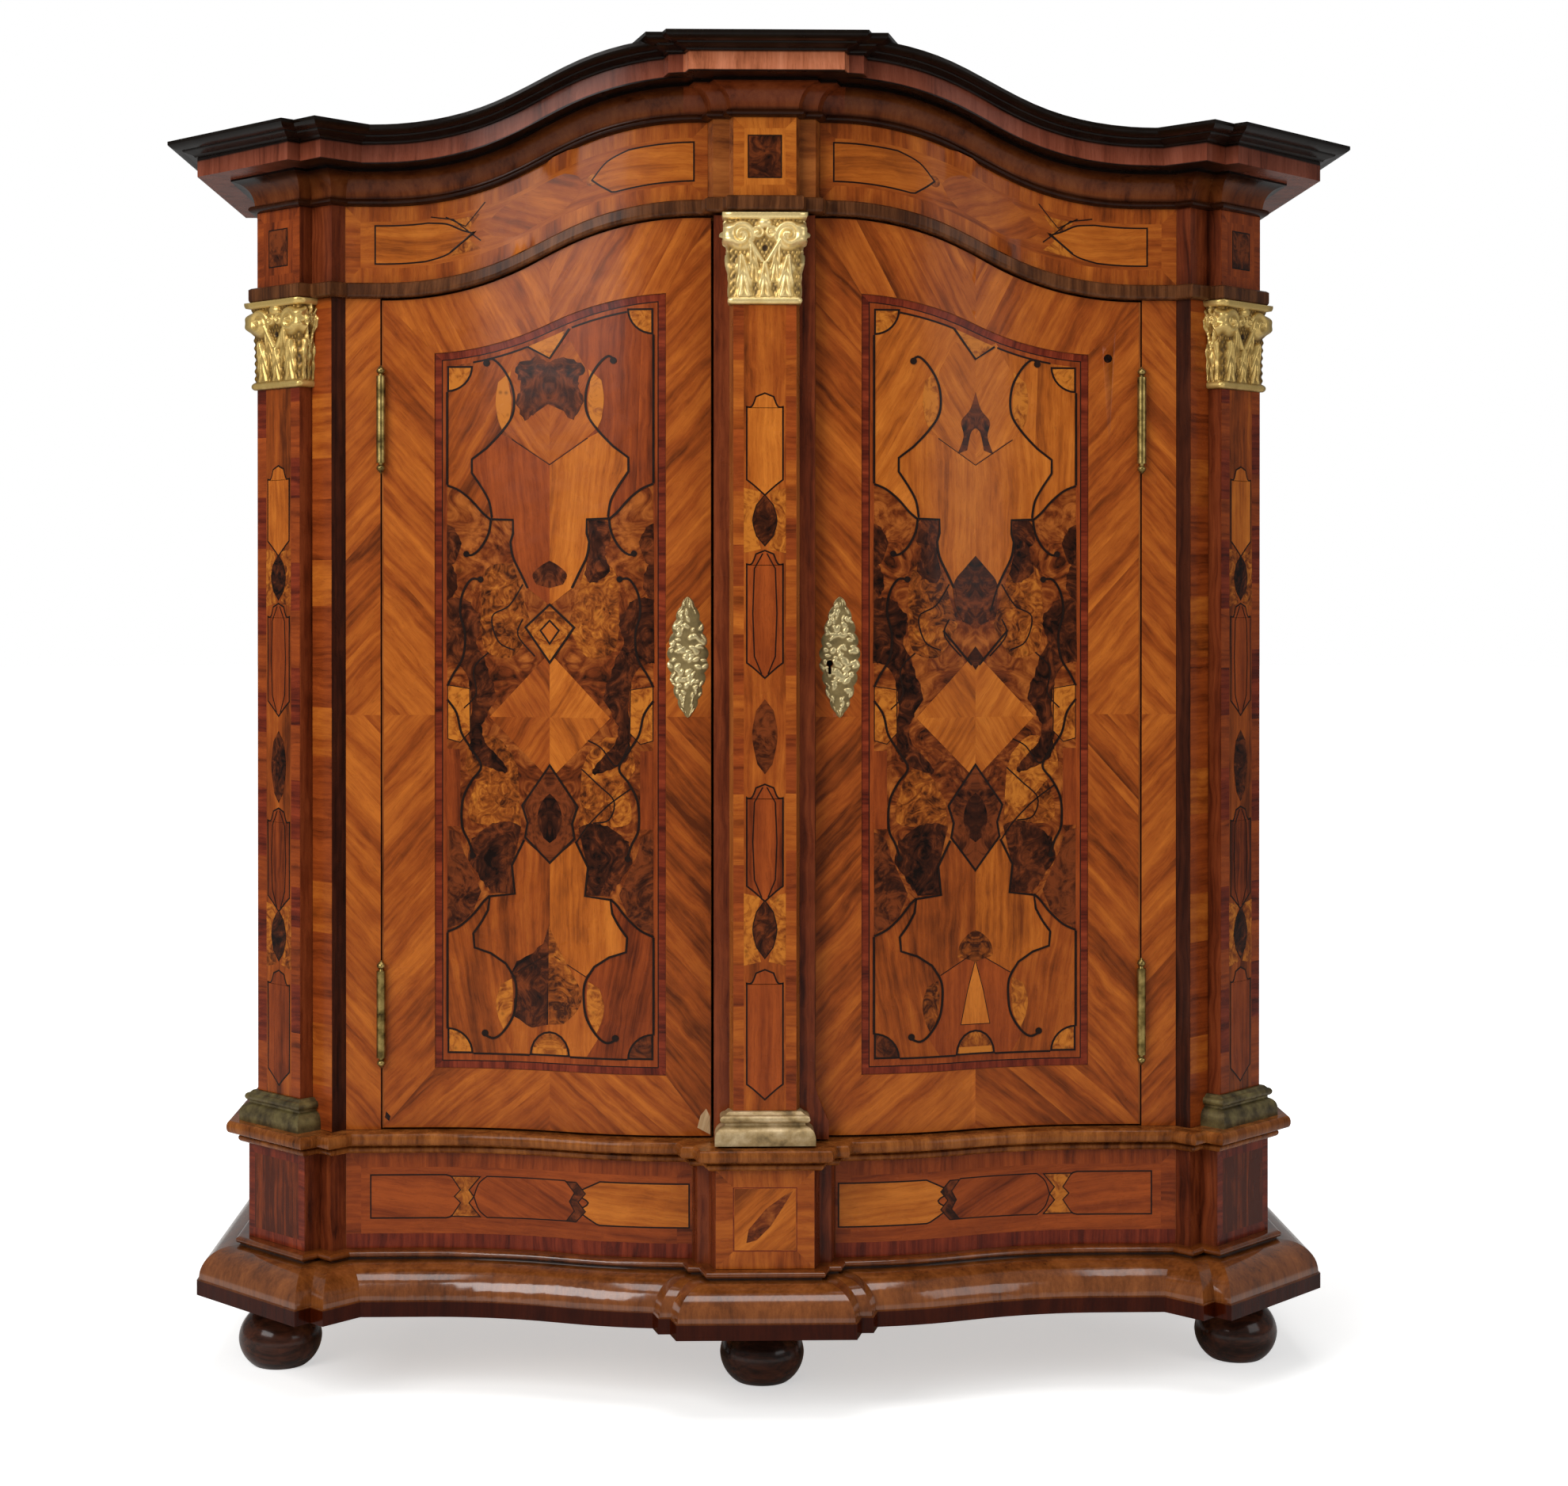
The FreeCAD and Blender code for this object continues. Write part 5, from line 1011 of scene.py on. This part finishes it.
def wrapped_relief(name, plan, replaced, relief, body, finish_name):
    """A block whose sides carry a relief: a grid wrapped round a plan, its seam closed and its ends filled.

    plan lists four corners in millimetres, seen from above and turning left. The second stretch is the
    face, the ones beside it are its returns and the last one is the plain back."""
    bm = bmesh.new()
    corners = [Vector(corner) for corner in plan]
    runs = [b - a for a, b in zip(corners, corners[1:] + corners[:1])]
    normals = [Vector((run.y, -run.x)).normalized() for run in runs]
    low, high = (corner.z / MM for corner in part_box(replaced))
    steps = [max(int(run.length / RELIEF_GRID[0]), 4) for run in runs]
    columns = sum(steps)
    bmesh.ops.create_grid(bm, x_segments=columns, y_segments=int((high - low) / RELIEF_GRID[1]), size=0.5)
    crest = bm.verts.layers.float.new("relief")
    for vert in bm.verts:
        column, side, t = int(round((vert.co.x + 0.5) * columns)), 0, vert.co.y + 0.5
        while side < 3 and column > steps[side]:
            column -= steps[side]
            side += 1
        share = column / steps[side]
        spot, normal = corners[side] + runs[side] * share, normals[side]
        for corner, other in ((share, side - 1), (1 - share, (side + 1) % 4)):
            if corner < 1e-6:
                normal = (normal + normals[other]) / (1 + normal.dot(normals[other]))
        depth = relief(1.0 if side == 3 else share * 2 - 1, t)
        # 0 in the hollows, 1 on the crests: the gilding darkens its hollows with painted shade by it.
        vert[crest] = min(max((depth - relief_floor(t)) / CREST, 0.0), 1.0)
        vert.co = (spot + normal * depth).to_3d() * MM
        vert.co.z = (low + t * (high - low)) * MM
    bmesh.ops.remove_doubles(bm, verts=bm.verts[:], dist=0.00005)
    bmesh.ops.holes_fill(bm, edges=[e for e in bm.edges if e.is_boundary], sides=0)
    bmesh.ops.recalc_face_normals(bm, faces=bm.faces[:])
    for face in bm.faces:
        face.smooth = len(face.verts) < 6
    new_piece(name, bm, finish_name, body, replaced)


def plate_half_width(share):
    """Half width of a key plate at a height from -1 to 1: a lozenge with leafy, scalloped edges."""
    away = abs(share)
    body = 0.93 - 0.70 * away ** 1.5
    lobes = 0.16 * abs(math.sin((share + 0.04) * math.pi * 4.5)) ** 0.7
    tip = (1 - away ** 8) ** 0.5 if away < 1 else 0.0
    return max((body + lobes * (1.1 - away * 0.5)) * tip, 0.04)


def key_plate(side, label, seed):
    """A cast and chased plate, raised in leafy scrolls round the keyhole."""
    drawn = random.Random(seed)
    mounds = []
    for _ in range(PLATE_MOUNDS):
        z, a = drawn.uniform(-0.96, 0.96), drawn.uniform(-0.95, 0.95)
        mounds.append((a, z, drawn.uniform(0.10, 0.22), drawn.uniform(0.025, 0.06), drawn.uniform(-2.0, 2.0)))
    tree = skin([label + "_door_meeting_stile"])

    def stile_at(x, z):
        """Where the stile's front lies behind a point."""
        start = Vector((x, -RAY_START, z))
        hit = tree.ray_cast(start, Vector((0, 1, 0)))[0] or tree.find_nearest(start + Vector((0, 0.2, 0)))[0]
        return hit.y

    bm = bmesh.new()
    bmesh.ops.create_grid(bm, x_segments=PLATE_GRID[0], y_segments=PLATE_GRID[1], size=1.0)
    crest = bm.verts.layers.float.new("relief")
    for vert in bm.verts:
        a, v = vert.co.x, vert.co.y
        x = (PLATE_X * side + a * PLATE_HALF_WIDTH * plate_half_width(v)) * MM
        z = (PLATE_Z + v * PLATE_HALF_HEIGHT) * MM
        height = 1.0 + 0.5 * math.cos(a * math.pi / 2)
        for cx, cz, wide, tall, lean in mounds:
            height = max(height, 1.0 + MOUND_HEIGHT * bump_at(a + (v - cz) * lean, v, cx, cz, wide, tall))
        # 0 in the hollows, 1 on the crests: the brass darkens its hollows with painted shade by it.
        vert[crest] = min(max((height - 0.6) / MOUND_HEIGHT, 0.0), 1.0)
        height *= 1.0 - 0.6 * abs(a) ** 9
        vert.co = Vector((x, stile_at(x, z) - min(height, PLATE_DEPTH) * MM, z))
    bmesh.ops.recalc_face_normals(bm, faces=bm.faces[:])
    if sum(f.normal.y for f in bm.faces) > 0:
        bmesh.ops.reverse_faces(bm, faces=bm.faces[:])
    ring = bmesh.ops.extrude_face_region(bm, geom=bm.faces[:])
    for vert in [g for g in ring["geom"] if isinstance(g, bmesh.types.BMVert)]:
        vert.co.y = stile_at(vert.co.x, vert.co.z) + 0.2 * MM
    bmesh.ops.recalc_face_normals(bm, faces=bm.faces[:])
    smooth_shaded(bm, 0.9)
    return new_piece(label + "_key_plate", bm, "plate", label + "_door", label + "_escutcheon")


def keyhole_cutter():
    """A round hole with a slot under it, as a tool that is used once and removed."""
    bm = bmesh.new()
    depth, y = 60.0 * MM, -0.205
    hole = bmesh.ops.create_cone(bm, cap_ends=True, segments=32, radius1=KEYHOLE_RADIUS * MM,
                                 radius2=KEYHOLE_RADIUS * MM, depth=depth)["verts"]
    bmesh.ops.rotate(bm, verts=hole, cent=(0, 0, 0), matrix=Matrix.Rotation(math.pi / 2, 3, "X"))
    bmesh.ops.translate(bm, verts=hole, vec=Vector((KEYHOLE_X * MM, y, KEYHOLE_Z * MM)))
    slot = bmesh.ops.create_cube(bm, size=1.0)["verts"]
    bmesh.ops.scale(bm, verts=slot, vec=Vector((KEYHOLE_WIDTH * MM, depth, KEYHOLE_DROP * MM)))
    bmesh.ops.translate(bm, verts=slot, vec=Vector((KEYHOLE_X * MM, y, (KEYHOLE_Z - KEYHOLE_DROP / 2) * MM)))
    return linked("keyhole_cutter", bm)


def cut_keyhole(pieces):
    """Open the keyhole through the plate and the veneer under it."""
    tool = keyhole_cutter()
    for piece in pieces:
        cut = piece.modifiers.new("keyhole", "BOOLEAN")
        cut.operation, cut.solver, cut.object, cut.use_self = "DIFFERENCE", "EXACT", tool, True
        bpy.context.view_layer.update()
        graph = bpy.context.evaluated_depsgraph_get()
        mesh = bpy.data.meshes.new_from_object(piece.evaluated_get(graph), depsgraph=graph)
        piece.modifiers.clear()
        mesh.name = piece.name
        piece.data = mesh
    bpy.data.objects.remove(tool)


def canted(side, x, y):
    """How a drawing lies on a face canted by 45 degrees, whose zero is x from the middle and y back."""
    return {"origin": (side * x, FACE_Y + y, 0), "along": (1, side, 0), "inward": (-side, 1, 0),
            "body": "carcass"}


def colour_of(name, description, default):
    return FloatVectorProperty(name=name, description=description, subtype="COLOR", size=4,
                               default=linear(default), min=0.0, max=1.0)


class CupboardSizes(PropertyGroup):
    seed: IntProperty(name="Seed", description="Start of the random choice of leaves", default=7)
    leaf_thickness: FloatProperty(name="Leaf thickness", description="Thickness of a leaf of veneer",
                                  default=1.0 * MM, min=0.1 * MM, unit="LENGTH")
    leaf_proud: FloatProperty(name="Leaf stands proud", default=0.5 * MM, min=0.0, unit="LENGTH",
                              description="How far a leaf's face stands before the wood it lies on")
    level_step: FloatProperty(name="Level step", default=0.16 * MM, min=0.01 * MM, unit="LENGTH",
                              description="How far each leaf stands before the one under it")
    walnut: colour_of("Walnut", "Middle tone of the walnut veneer", "#894014")
    plum: colour_of("Plum", "Middle tone of the plum veneer", "#783312")
    golden: colour_of("Pale walnut", "Middle tone of the pale veneer in the fields", "#9F5218")
    gilding: colour_of("Gilding", "Middle tone of the middle capital's gilding", "#BE9A54")
    key_light: FloatProperty(name="Key light", description="Power of the large soft light", default=185.0,
                             min=0.0, unit="POWER")
    fill_light: FloatProperty(name="Fill light", description="Power of the light from the right",
                              default=44.0, min=0.0, unit="POWER")
    top_light: FloatProperty(name="Top light", description="Power of the light from above", default=105.0,
                             min=0.0, unit="POWER")
    room_light: FloatProperty(name="Room", description="Strength of the even light from all round",
                              default=0.24, min=0.0)
    floor_colour: colour_of("Floor", "Colour of the floor", "#F2F1EF")


# The finish of each solid: the first row with a word that its name holds.
SOLID_FINISHES = (
    ("foot", ("foot_",)), ("inside_x", ("_board", "shelf_")), ("inside_z", ("back_panel",)),
    ("hinge", ("hinges",)), ("iron", ("bolt", "lock_case", "lock_keeper")), ("base_roll", ("base_moulding",)),
    ("cross_z", ("plinth_moulding",)), ("dark_cross", ("architrave",)), ("cornice", ("cornice",)),
    ("gilded_olive", ("corner_base",)), ("gilded_dull", ("door_pilaster_base",)),
    ("return_painted_shade", ("corner_post",)),
    ("red_return_painted_shade", ("frieze_side", "plinth_side", "plinth_centre", "corner_pilaster", "door_backing")),
    ("ground_x", ("rail", "frieze", "plinth")), ("ground_z", ("",)),
)


class CUPBOARD_OT_finishes(Operator):
    """Give every carried-over solid its finish"""
    bl_idname = "cupboard.finishes"
    bl_label = "Finishes of the solids"

    def execute(self, context):
        for name, solid in NODES.items():
            if not solid.material_slots:
                raise RuntimeError("the solid %s has no material slot" % name)
            finish_name = next(row for row, words in SOLID_FINISHES if any(word in name for word in words))
            for slot in solid.material_slots:
                slot.material = finish(finish_name)
        return {"FINISHED"}


class CUPBOARD_OT_doors(Operator):
    """Lay the veneers and the marquetry on both doors"""
    bl_idname = "cupboard.doors"
    bl_label = "Door veneers"

    def execute(self, context):
        seed = context.scene.cupboard.seed
        for side in (-1, 1):
            door_frame_veneer(side, seed + side)
            door_panel_veneer(side, seed + 10 + side)
        return {"FINISHED"}


class CUPBOARD_OT_stiles(Operator):
    """Veneer the fixed stiles beside the doors and the canted strips next to them"""
    bl_idname = "cupboard.stiles"
    bl_label = "Stile veneers"

    def execute(self, context):
        seed = context.scene.cupboard.seed
        low, high = BODY_Z + SEAM, ARCHITRAVE_Z - SEAM
        for side, label in SIDES:
            veneer = Veneer(label + "_stile_veneer", seed + 20 + side)
            x0, x1 = sorted((side * STILE_START, side * (STILE_EDGE - SEAM)))
            for z0, z1, angle, tone in ((low, CHEVRON_Z, 48, 0.05), (CHEVRON_Z, high, 132, 0.12)):
                veneer.leaf(box_of(x0, x1, z0, z1), WALNUT, angle if side > 0 else 180 - angle, tone, cuts=9)
            veneer.lay(["corner_post_" + label], body="carcass", slot_name="walnut_veneer", **FRONT)
            veneer = Veneer(label + "_canted_strip_veneer", seed + 30 + side)
            run = math.dist(*CANTED_STRIP)
            strip_stack(veneer, 1.0, run - 1.0, low, high, 80, [PLUM, WALNUT, PLUM])
            start = CANTED_STRIP[0 if side > 0 else 1]
            veneer.lay(["corner_post_" + label], slot_name="walnut_veneer", **canted(side, *start))
        return {"FINISHED"}


class CUPBOARD_OT_pilasters(Operator):
    """Inlay the centre pilaster and the two canted ones"""
    bl_idname = "cupboard.pilasters"
    bl_label = "Pilaster inlay"

    def execute(self, context):
        seed = context.scene.cupboard.seed
        veneer = Veneer("centre_pilaster_inlay", seed + 40)
        top = ARCHITRAVE_Z + ARCH[2] - 3.5 - CAPITAL_HEIGHT
        pilaster_figures(veneer, 50.0, DOOR_Z + GILT_BASE_HEIGHT, top, 17.0)
        veneer.lay(["door_pilaster"], body="right_door", **FRONT)
        for side, label in SIDES:
            veneer = Veneer(label + "_pilaster_inlay", seed + 41 + side)
            # The canted pilasters get painted shade: a tone of -0.35 darkens them as faces turned from the
            # light.
            pilaster_figures(veneer, CANT_HALF, BODY_Z + GILT_BASE_HEIGHT, ARCHITRAVE_Z - CAPITAL_HEIGHT,
                             24.0, shade=-0.35)
            veneer.lay(["corner_pilaster_" + label], **canted(side, *CANT_MIDDLE))
        return {"FINISHED"}


class CUPBOARD_OT_frieze(Operator):
    """Inlay the arched frieze and its centre block"""
    bl_idname = "cupboard.frieze"
    bl_label = "Frieze inlay"

    def execute(self, context):
        seed = context.scene.cupboard.seed
        veneer = Veneer("frieze_inlay", seed + 50)
        middle, half = (FRIEZE_Z + CORNICE_Z) / 2, (CORNICE_Z - FRIEZE_Z) / 2
        for side in (1, -1):
            x0, x1 = sorted((side * FRIEZE_START, side * (STILE_EDGE - SEAM)))
            veneer.leaf(box_of(x0, x1, FRIEZE_Z + SEAM, CORNICE_Z - SEAM), WALNUT, 3 if side > 0 else 177,
                        0.1, bands=[(24.0, WALNUT, None)])
        compartments(veneer, FRIEZE_FIELDS, middle, 32.0)
        for side in (1, -1):
            veneer.leaf(in_band(KNOT_FIELD, side, middle, 30), BURL, 90, 0.2, level=1)
            veneer.leaf(disc(side * 274, middle, 9.0), BURL, 90, 0.1, level=1)
            for path in (((536, 40), (500, 30), (455, -16)), ((512, 36), (480, 14), (448, 44))):
                veneer.line(in_band(path, side, middle, 1), 1.8, 4)
        veneer.lay(["frieze_front"], body="carcass", rise=lambda x: s_curve(x, *ARCH), curved=True, **FRONT)
        veneer = Veneer("frieze_block_inlay", seed + 51)
        low, high = FRIEZE_Z + ARCH[2] + SEAM, CORNICE_Z + ARCH[2] - SEAM
        veneer.leaf(box_of(-FRIEZE_BLOCK, FRIEZE_BLOCK, low, high), GOLDEN, 90, 0.15,
                    bands=[(17.0, GOLDEN, None)])
        centre = (low + high) / 2
        veneer.figure(box_of(-27, 27, centre - 34, centre + 34), DARK_BURL, 2.0, level=2, tone=0.1)
        veneer.lay(["frieze_centre_block"], body="carcass", **FRONT)
        for side, label in SIDES:
            veneer = Veneer(label + "_frieze_corner_inlay", seed + 52 + side)
            veneer.leaf(box_of(-CANT_HALF, CANT_HALF, FRIEZE_Z + SEAM, CORNICE_Z - SEAM), PLUM, 90, -0.1,
                        bands=[(18.0, PLUM, None)])
            veneer.figure(box_of(-26, 26, middle - half * 0.5, middle + half * 0.5), DARK_BURL, 2.0, level=2,
                          tone=0.2)
            veneer.lay(["frieze_side_" + label], **canted(side, *CANT_MIDDLE))
        return {"FINISHED"}


class CUPBOARD_OT_plinth(Operator):
    """Inlay the plinth and its centre block"""
    bl_idname = "cupboard.plinth"
    bl_label = "Plinth inlay"

    def execute(self, context):
        seed = context.scene.cupboard.seed
        veneer = Veneer("plinth_inlay", seed + 60)
        middle, low, high, band_top = 306.0, PLINTH_Z + SEAM, PLINTH_TOP - SEAM, 246.0
        for side in (1, -1):
            x0, x1 = sorted((side * PLINTH_START, side * (STILE_EDGE - SEAM)))
            veneer.leaf(box_of(x0, x1, low, high), PLUM, 3 if side > 0 else 177, 0.15,
                        bands=[(24.0, PLUM, None)])
            veneer.leaf(box_of(x0, x1, low, band_top), BAND, 90, 0.0, level=1)
        compartments(veneer, PLINTH_FIELDS, middle, 36.0)
        for side in (1, -1):
            veneer.figure(in_band(KNOT_FIELD, side, middle, 35), BURL, 1.8, tone=0.05, level=3)
            veneer.figure(in_band(SMALL_KNOT, side, middle, 36), DARK_BURL, 1.6, tone=0.2, level=3)
        veneer.lay(["plinth_front"], body="carcass", curved=True, **FRONT)
        veneer = Veneer("plinth_block_inlay", seed + 61)
        veneer.leaf(box_of(-PLINTH_BLOCK, PLINTH_BLOCK, low, high), GOLDEN, 90, -0.2,
                    bands=[(27.0, WALNUT, None), (1.6, BAND, 0.0)])
        veneer.leaf(box_of(-48, 48, 252, 348), GOLDEN, 42, -0.2, level=1, cuts=2)
        flame = [(-30, 262), (-14, 266), (8, 288), (34, 326), (42, 344), (30, 340), (2, 318), (-26, 284)]
        veneer.leaf(ragged(flame, 2.0), CLOUDS, 45, -0.1, level=2)
        veneer.lay(["plinth_centre_block"], body="carcass", **FRONT)
        for side, label in SIDES:
            veneer = Veneer(label + "_plinth_corner_inlay", seed + 62 + side)
            width = PLINTH_CANT_RUN * math.sqrt(2) / 2 - 1.0
            # The tone of -0.7 is painted shade: the canted plinth corners are darkened as faces turned from
            # the light.
            veneer.leaf(box_of(-width, width, low, high), PLUM, 90, -0.7, cuts=3, bands=[(16.0, BAND, None)])
            veneer.lay(["plinth_side_" + label], **canted(side, *PLINTH_CANT_MIDDLE))
        return {"FINISHED"}


class CUPBOARD_OT_sides(Operator):
    """Veneer the cupboard's two sides in quarters with a border"""
    bl_idname = "cupboard.sides"
    bl_label = "Side veneers"

    def execute(self, context):
        seed = context.scene.cupboard.seed
        front, back, low, high = SIDE_FRONT + 1, SIDE_BACK - 1, BODY_Z + SEAM, ARCHITRAVE_Z - SEAM
        inner_front, inner_back = SIDE_FRONT + SIDE_BORDER, SIDE_BACK - SIDE_BORDER
        foot, head, middle = low + SIDE_BORDER, high - SIDE_BORDER, (SIDE_FRONT + SIDE_BACK) / 2
        corners, inner = box_of(front, back, low, high), box_of(inner_front, inner_back, foot, head)
        for side, label in SIDES:
            veneer = Veneer(label + "_side_veneer", seed + 70 + side)
            for i, angle in enumerate((132, 48, 132, 48)):
                j = (i + 1) % 4
                border = [corners[i], corners[j], inner[j], inner[i]]
                veneer.leaf(moved(border, flip=side), WALNUT, angle, 0.05, cuts=5)
            for x0, x1, angle in ((inner_front, middle, 74), (middle, inner_back, 106)):
                for z0, z1, flip in ((foot, CHEVRON_Z, 1), (CHEVRON_Z, head, -1)):
                    veneer.leaf(moved(box_of(x0, x1, z0, z1), flip=side), GOLDEN, angle * flip)
            for i in range(4):
                veneer.line(moved([inner[i], inner[(i + 1) % 4]], flip=side), 4.0, 2)
            tall, wide = 260, 110
            lozenge = [(middle, CHEVRON_Z + tall), (middle + wide, CHEVRON_Z), (middle, CHEVRON_Z - tall),
                       (middle - wide, CHEVRON_Z)]
            veneer.figure(moved(lozenge, flip=side), BURL, 3.2, grain=0, level=2)
            veneer.lay(["side_panel_" + label], origin=(side * DRAWING_X, 0, 0), along=(0, side, 0),
                       inward=(-side, 0, 0), body="carcass", slot_name="walnut_veneer")
        return {"FINISHED"}


class CUPBOARD_OT_capitals(Operator):
    """Carve the three gilded capitals"""
    bl_idname = "cupboard.capitals"
    bl_label = "Carved capitals"

    def execute(self, context):
        half, front, back = CAPITAL_HALF, CAPITAL_FACE_Y, CAPITAL_FACE_Y + CAPITAL_DEPTH
        plan = [(-half, back), (-half, front), (half, front), (half, back)]
        wrapped_relief("centre_capital", plan, "door_capital", capital_relief, "right_door", "gilded")
        near, far = (Vector(end) for end in CORNER_CAPITAL)
        run = (far - near).normalized()
        inward = Vector((-run.y, run.x)) * CORNER_CAPITAL_DEPTH
        for side, label in SIDES:
            points = [near + inward, near + run, far - run, far + inward - run]
            plan = [(side * p.x, p.y + FACE_Y) for p in points[::side]]
            name = "corner_capital_" + label
            wrapped_relief("carved_" + name, plan, name, capital_relief, "carcass", "gilded_painted_shade")
        return {"FINISHED"}


class CUPBOARD_OT_plates(Operator):
    """Cast the two key plates and open the keyhole"""
    bl_idname = "cupboard.plates"
    bl_label = "Key plates"

    def execute(self, context):
        seed = context.scene.cupboard.seed
        key_plate(-1, "left", seed + 80)
        right = key_plate(1, "right", seed + 81)
        cut_keyhole([right, bpy.data.objects["right_door_frame_veneer"]])
        return {"FINISHED"}


class CUPBOARD_OT_stage(Operator):
    """Floor, soft lights and the camera at the photograph's angle"""
    bl_idname = "cupboard.stage"
    bl_label = "Stage"

    def execute(self, context):
        settings = context.scene.cupboard
        bm = bmesh.new()
        bmesh.ops.create_circle(bm, cap_ends=True, segments=96, radius=FLOOR_RADIUS)
        floor = linked("floor", bm)
        # Pale paper floor: even, hardly specked, fading to white away from the cupboard. Painted light: for
        # camera rays it glows, at half strength near the cupboard and in full beyond 2.6 m, which washes out
        # the shadows on it.
        material, tree = new_material("pale_floor")
        place = node(tree, "TexCoord", out="Object")
        speck = node(tree, "TexNoise", {"Vector": place, "Scale": 3.0, "Detail": 3.0, "Roughness": 0.55})
        speck = node(tree, "Math", {0: speck, 1: 0.06}, operation="MULTIPLY")
        colour = node(tree, "Mix", {0: speck, 6: list(settings.floor_colour), 7: linear("#DCDBD8")}, 2,
                      data_type="RGBA")
        far = node(tree, "VectorMath", {0: place}, "Value", operation="LENGTH")
        glow = node(tree, "MapRange", {"Value": far, "From Min": 0.6, "From Max": 2.6, "To Min": 0.5})
        seen = node(tree, "LightPath", out="Is Camera Ray")
        glow = node(tree, "Math", {0: glow, 1: seen}, operation="MULTIPLY")
        shader = node(tree, "BsdfPrincipled", {"Base Color": colour, "Roughness": 0.7,
                                               "Emission Color": linear("#FFFFFF"),
                                               "Emission Strength": glow})
        node(tree, "OutputMaterial", {"Surface": shader})
        floor.data.materials.append(material)

        world = bpy.data.worlds.new("soft_studio")
        world.use_nodes = True
        tree = world.node_tree
        tree.nodes.clear()
        seen = node(tree, "LightPath", out="Is Camera Ray")
        strength = node(tree, "MapRange", {"Value": seen, "To Min": settings.room_light, "To Max": 1.0})
        sky = node(tree, "Background", {"Color": linear("#FFFFFF"), "Strength": strength})
        node(tree, "OutputWorld", {"Surface": sky})
        context.scene.world = world

        for name, size, place in (("key_light", 3.0, (-3.0, -3.6, 3.4)),
                                  ("fill_light", 2.6, (3.8, -3.2, 2.4)),
                                  ("top_light", 3.0, (0.0, -0.9, 5.0))):
            light = bpy.data.lights.new(name, "AREA")
            light.energy, light.size, light.shape = getattr(settings, name), size, "SQUARE"
            lamp = bpy.data.objects.new(name, light)
            lamp.location = place
            lamp.rotation_euler = (Vector((0, 0, 1.0)) - Vector(place)).to_track_quat("-Z", "Y").to_euler()
            context.scene.collection.objects.link(lamp)

        # Solved from the photograph: lens, picture middle and vanishing point in its pixels, turn in degrees.
        width, height, lens, centre_x, centre_y = 1980.0, 1876.0, 3227.0, 940.0, 760.0
        data = bpy.data.cameras.new("camera")
        data.sensor_width, data.lens = 36.0, lens * 36.0 / width
        data.shift_x, data.shift_y = (width / 2 - centre_x) / width, -(height / 2 - centre_y) / width
        camera = bpy.data.objects.new("camera", data)
        camera.location = (-0.124, -4.143 + FACE_Y * MM, 1.287)
        yaw, pitch = math.radians(1.31), math.radians(-0.27)
        look = Vector((math.sin(yaw) * math.cos(pitch), math.cos(yaw) * math.cos(pitch), math.sin(pitch)))
        camera.rotation_euler = look.to_track_quat("-Z", "Y").to_euler()
        context.scene.collection.objects.link(camera)
        context.scene.camera = camera
        context.scene.view_settings.view_transform = "Standard"
        return {"FINISHED"}


STEPS = (
    CUPBOARD_OT_finishes, CUPBOARD_OT_doors, CUPBOARD_OT_stiles, CUPBOARD_OT_pilasters, CUPBOARD_OT_frieze,
    CUPBOARD_OT_plinth, CUPBOARD_OT_sides, CUPBOARD_OT_capitals, CUPBOARD_OT_plates, CUPBOARD_OT_stage,
)


class CUPBOARD_PT_panel(Panel):
    """Lists the steps that dress the cupboard"""
    bl_label = "Hall cupboard"
    bl_idname = "CUPBOARD_PT_panel"
    bl_space_type = "VIEW_3D"
    bl_region_type = "UI"
    bl_category = "Cupboard"

    def draw(self, context):
        for name in CupboardSizes.__annotations__:
            self.layout.prop(context.scene.cupboard, name)
        for step in STEPS:
            self.layout.operator(step.bl_idname)


CLASSES = (CupboardSizes, *STEPS, CUPBOARD_PT_panel)


def register():
    for item in CLASSES:
        bpy.utils.register_class(item)
    bpy.types.Scene.cupboard = PointerProperty(type=CupboardSizes)


def unregister():
    del bpy.types.Scene.cupboard
    for item in reversed(CLASSES):
        bpy.utils.unregister_class(item)


def main():
    register()
    for step in STEPS:
        group, action = step.bl_idname.split(".")
        getattr(getattr(bpy.ops, group), action)()


if __name__ == "__main__":
    main()
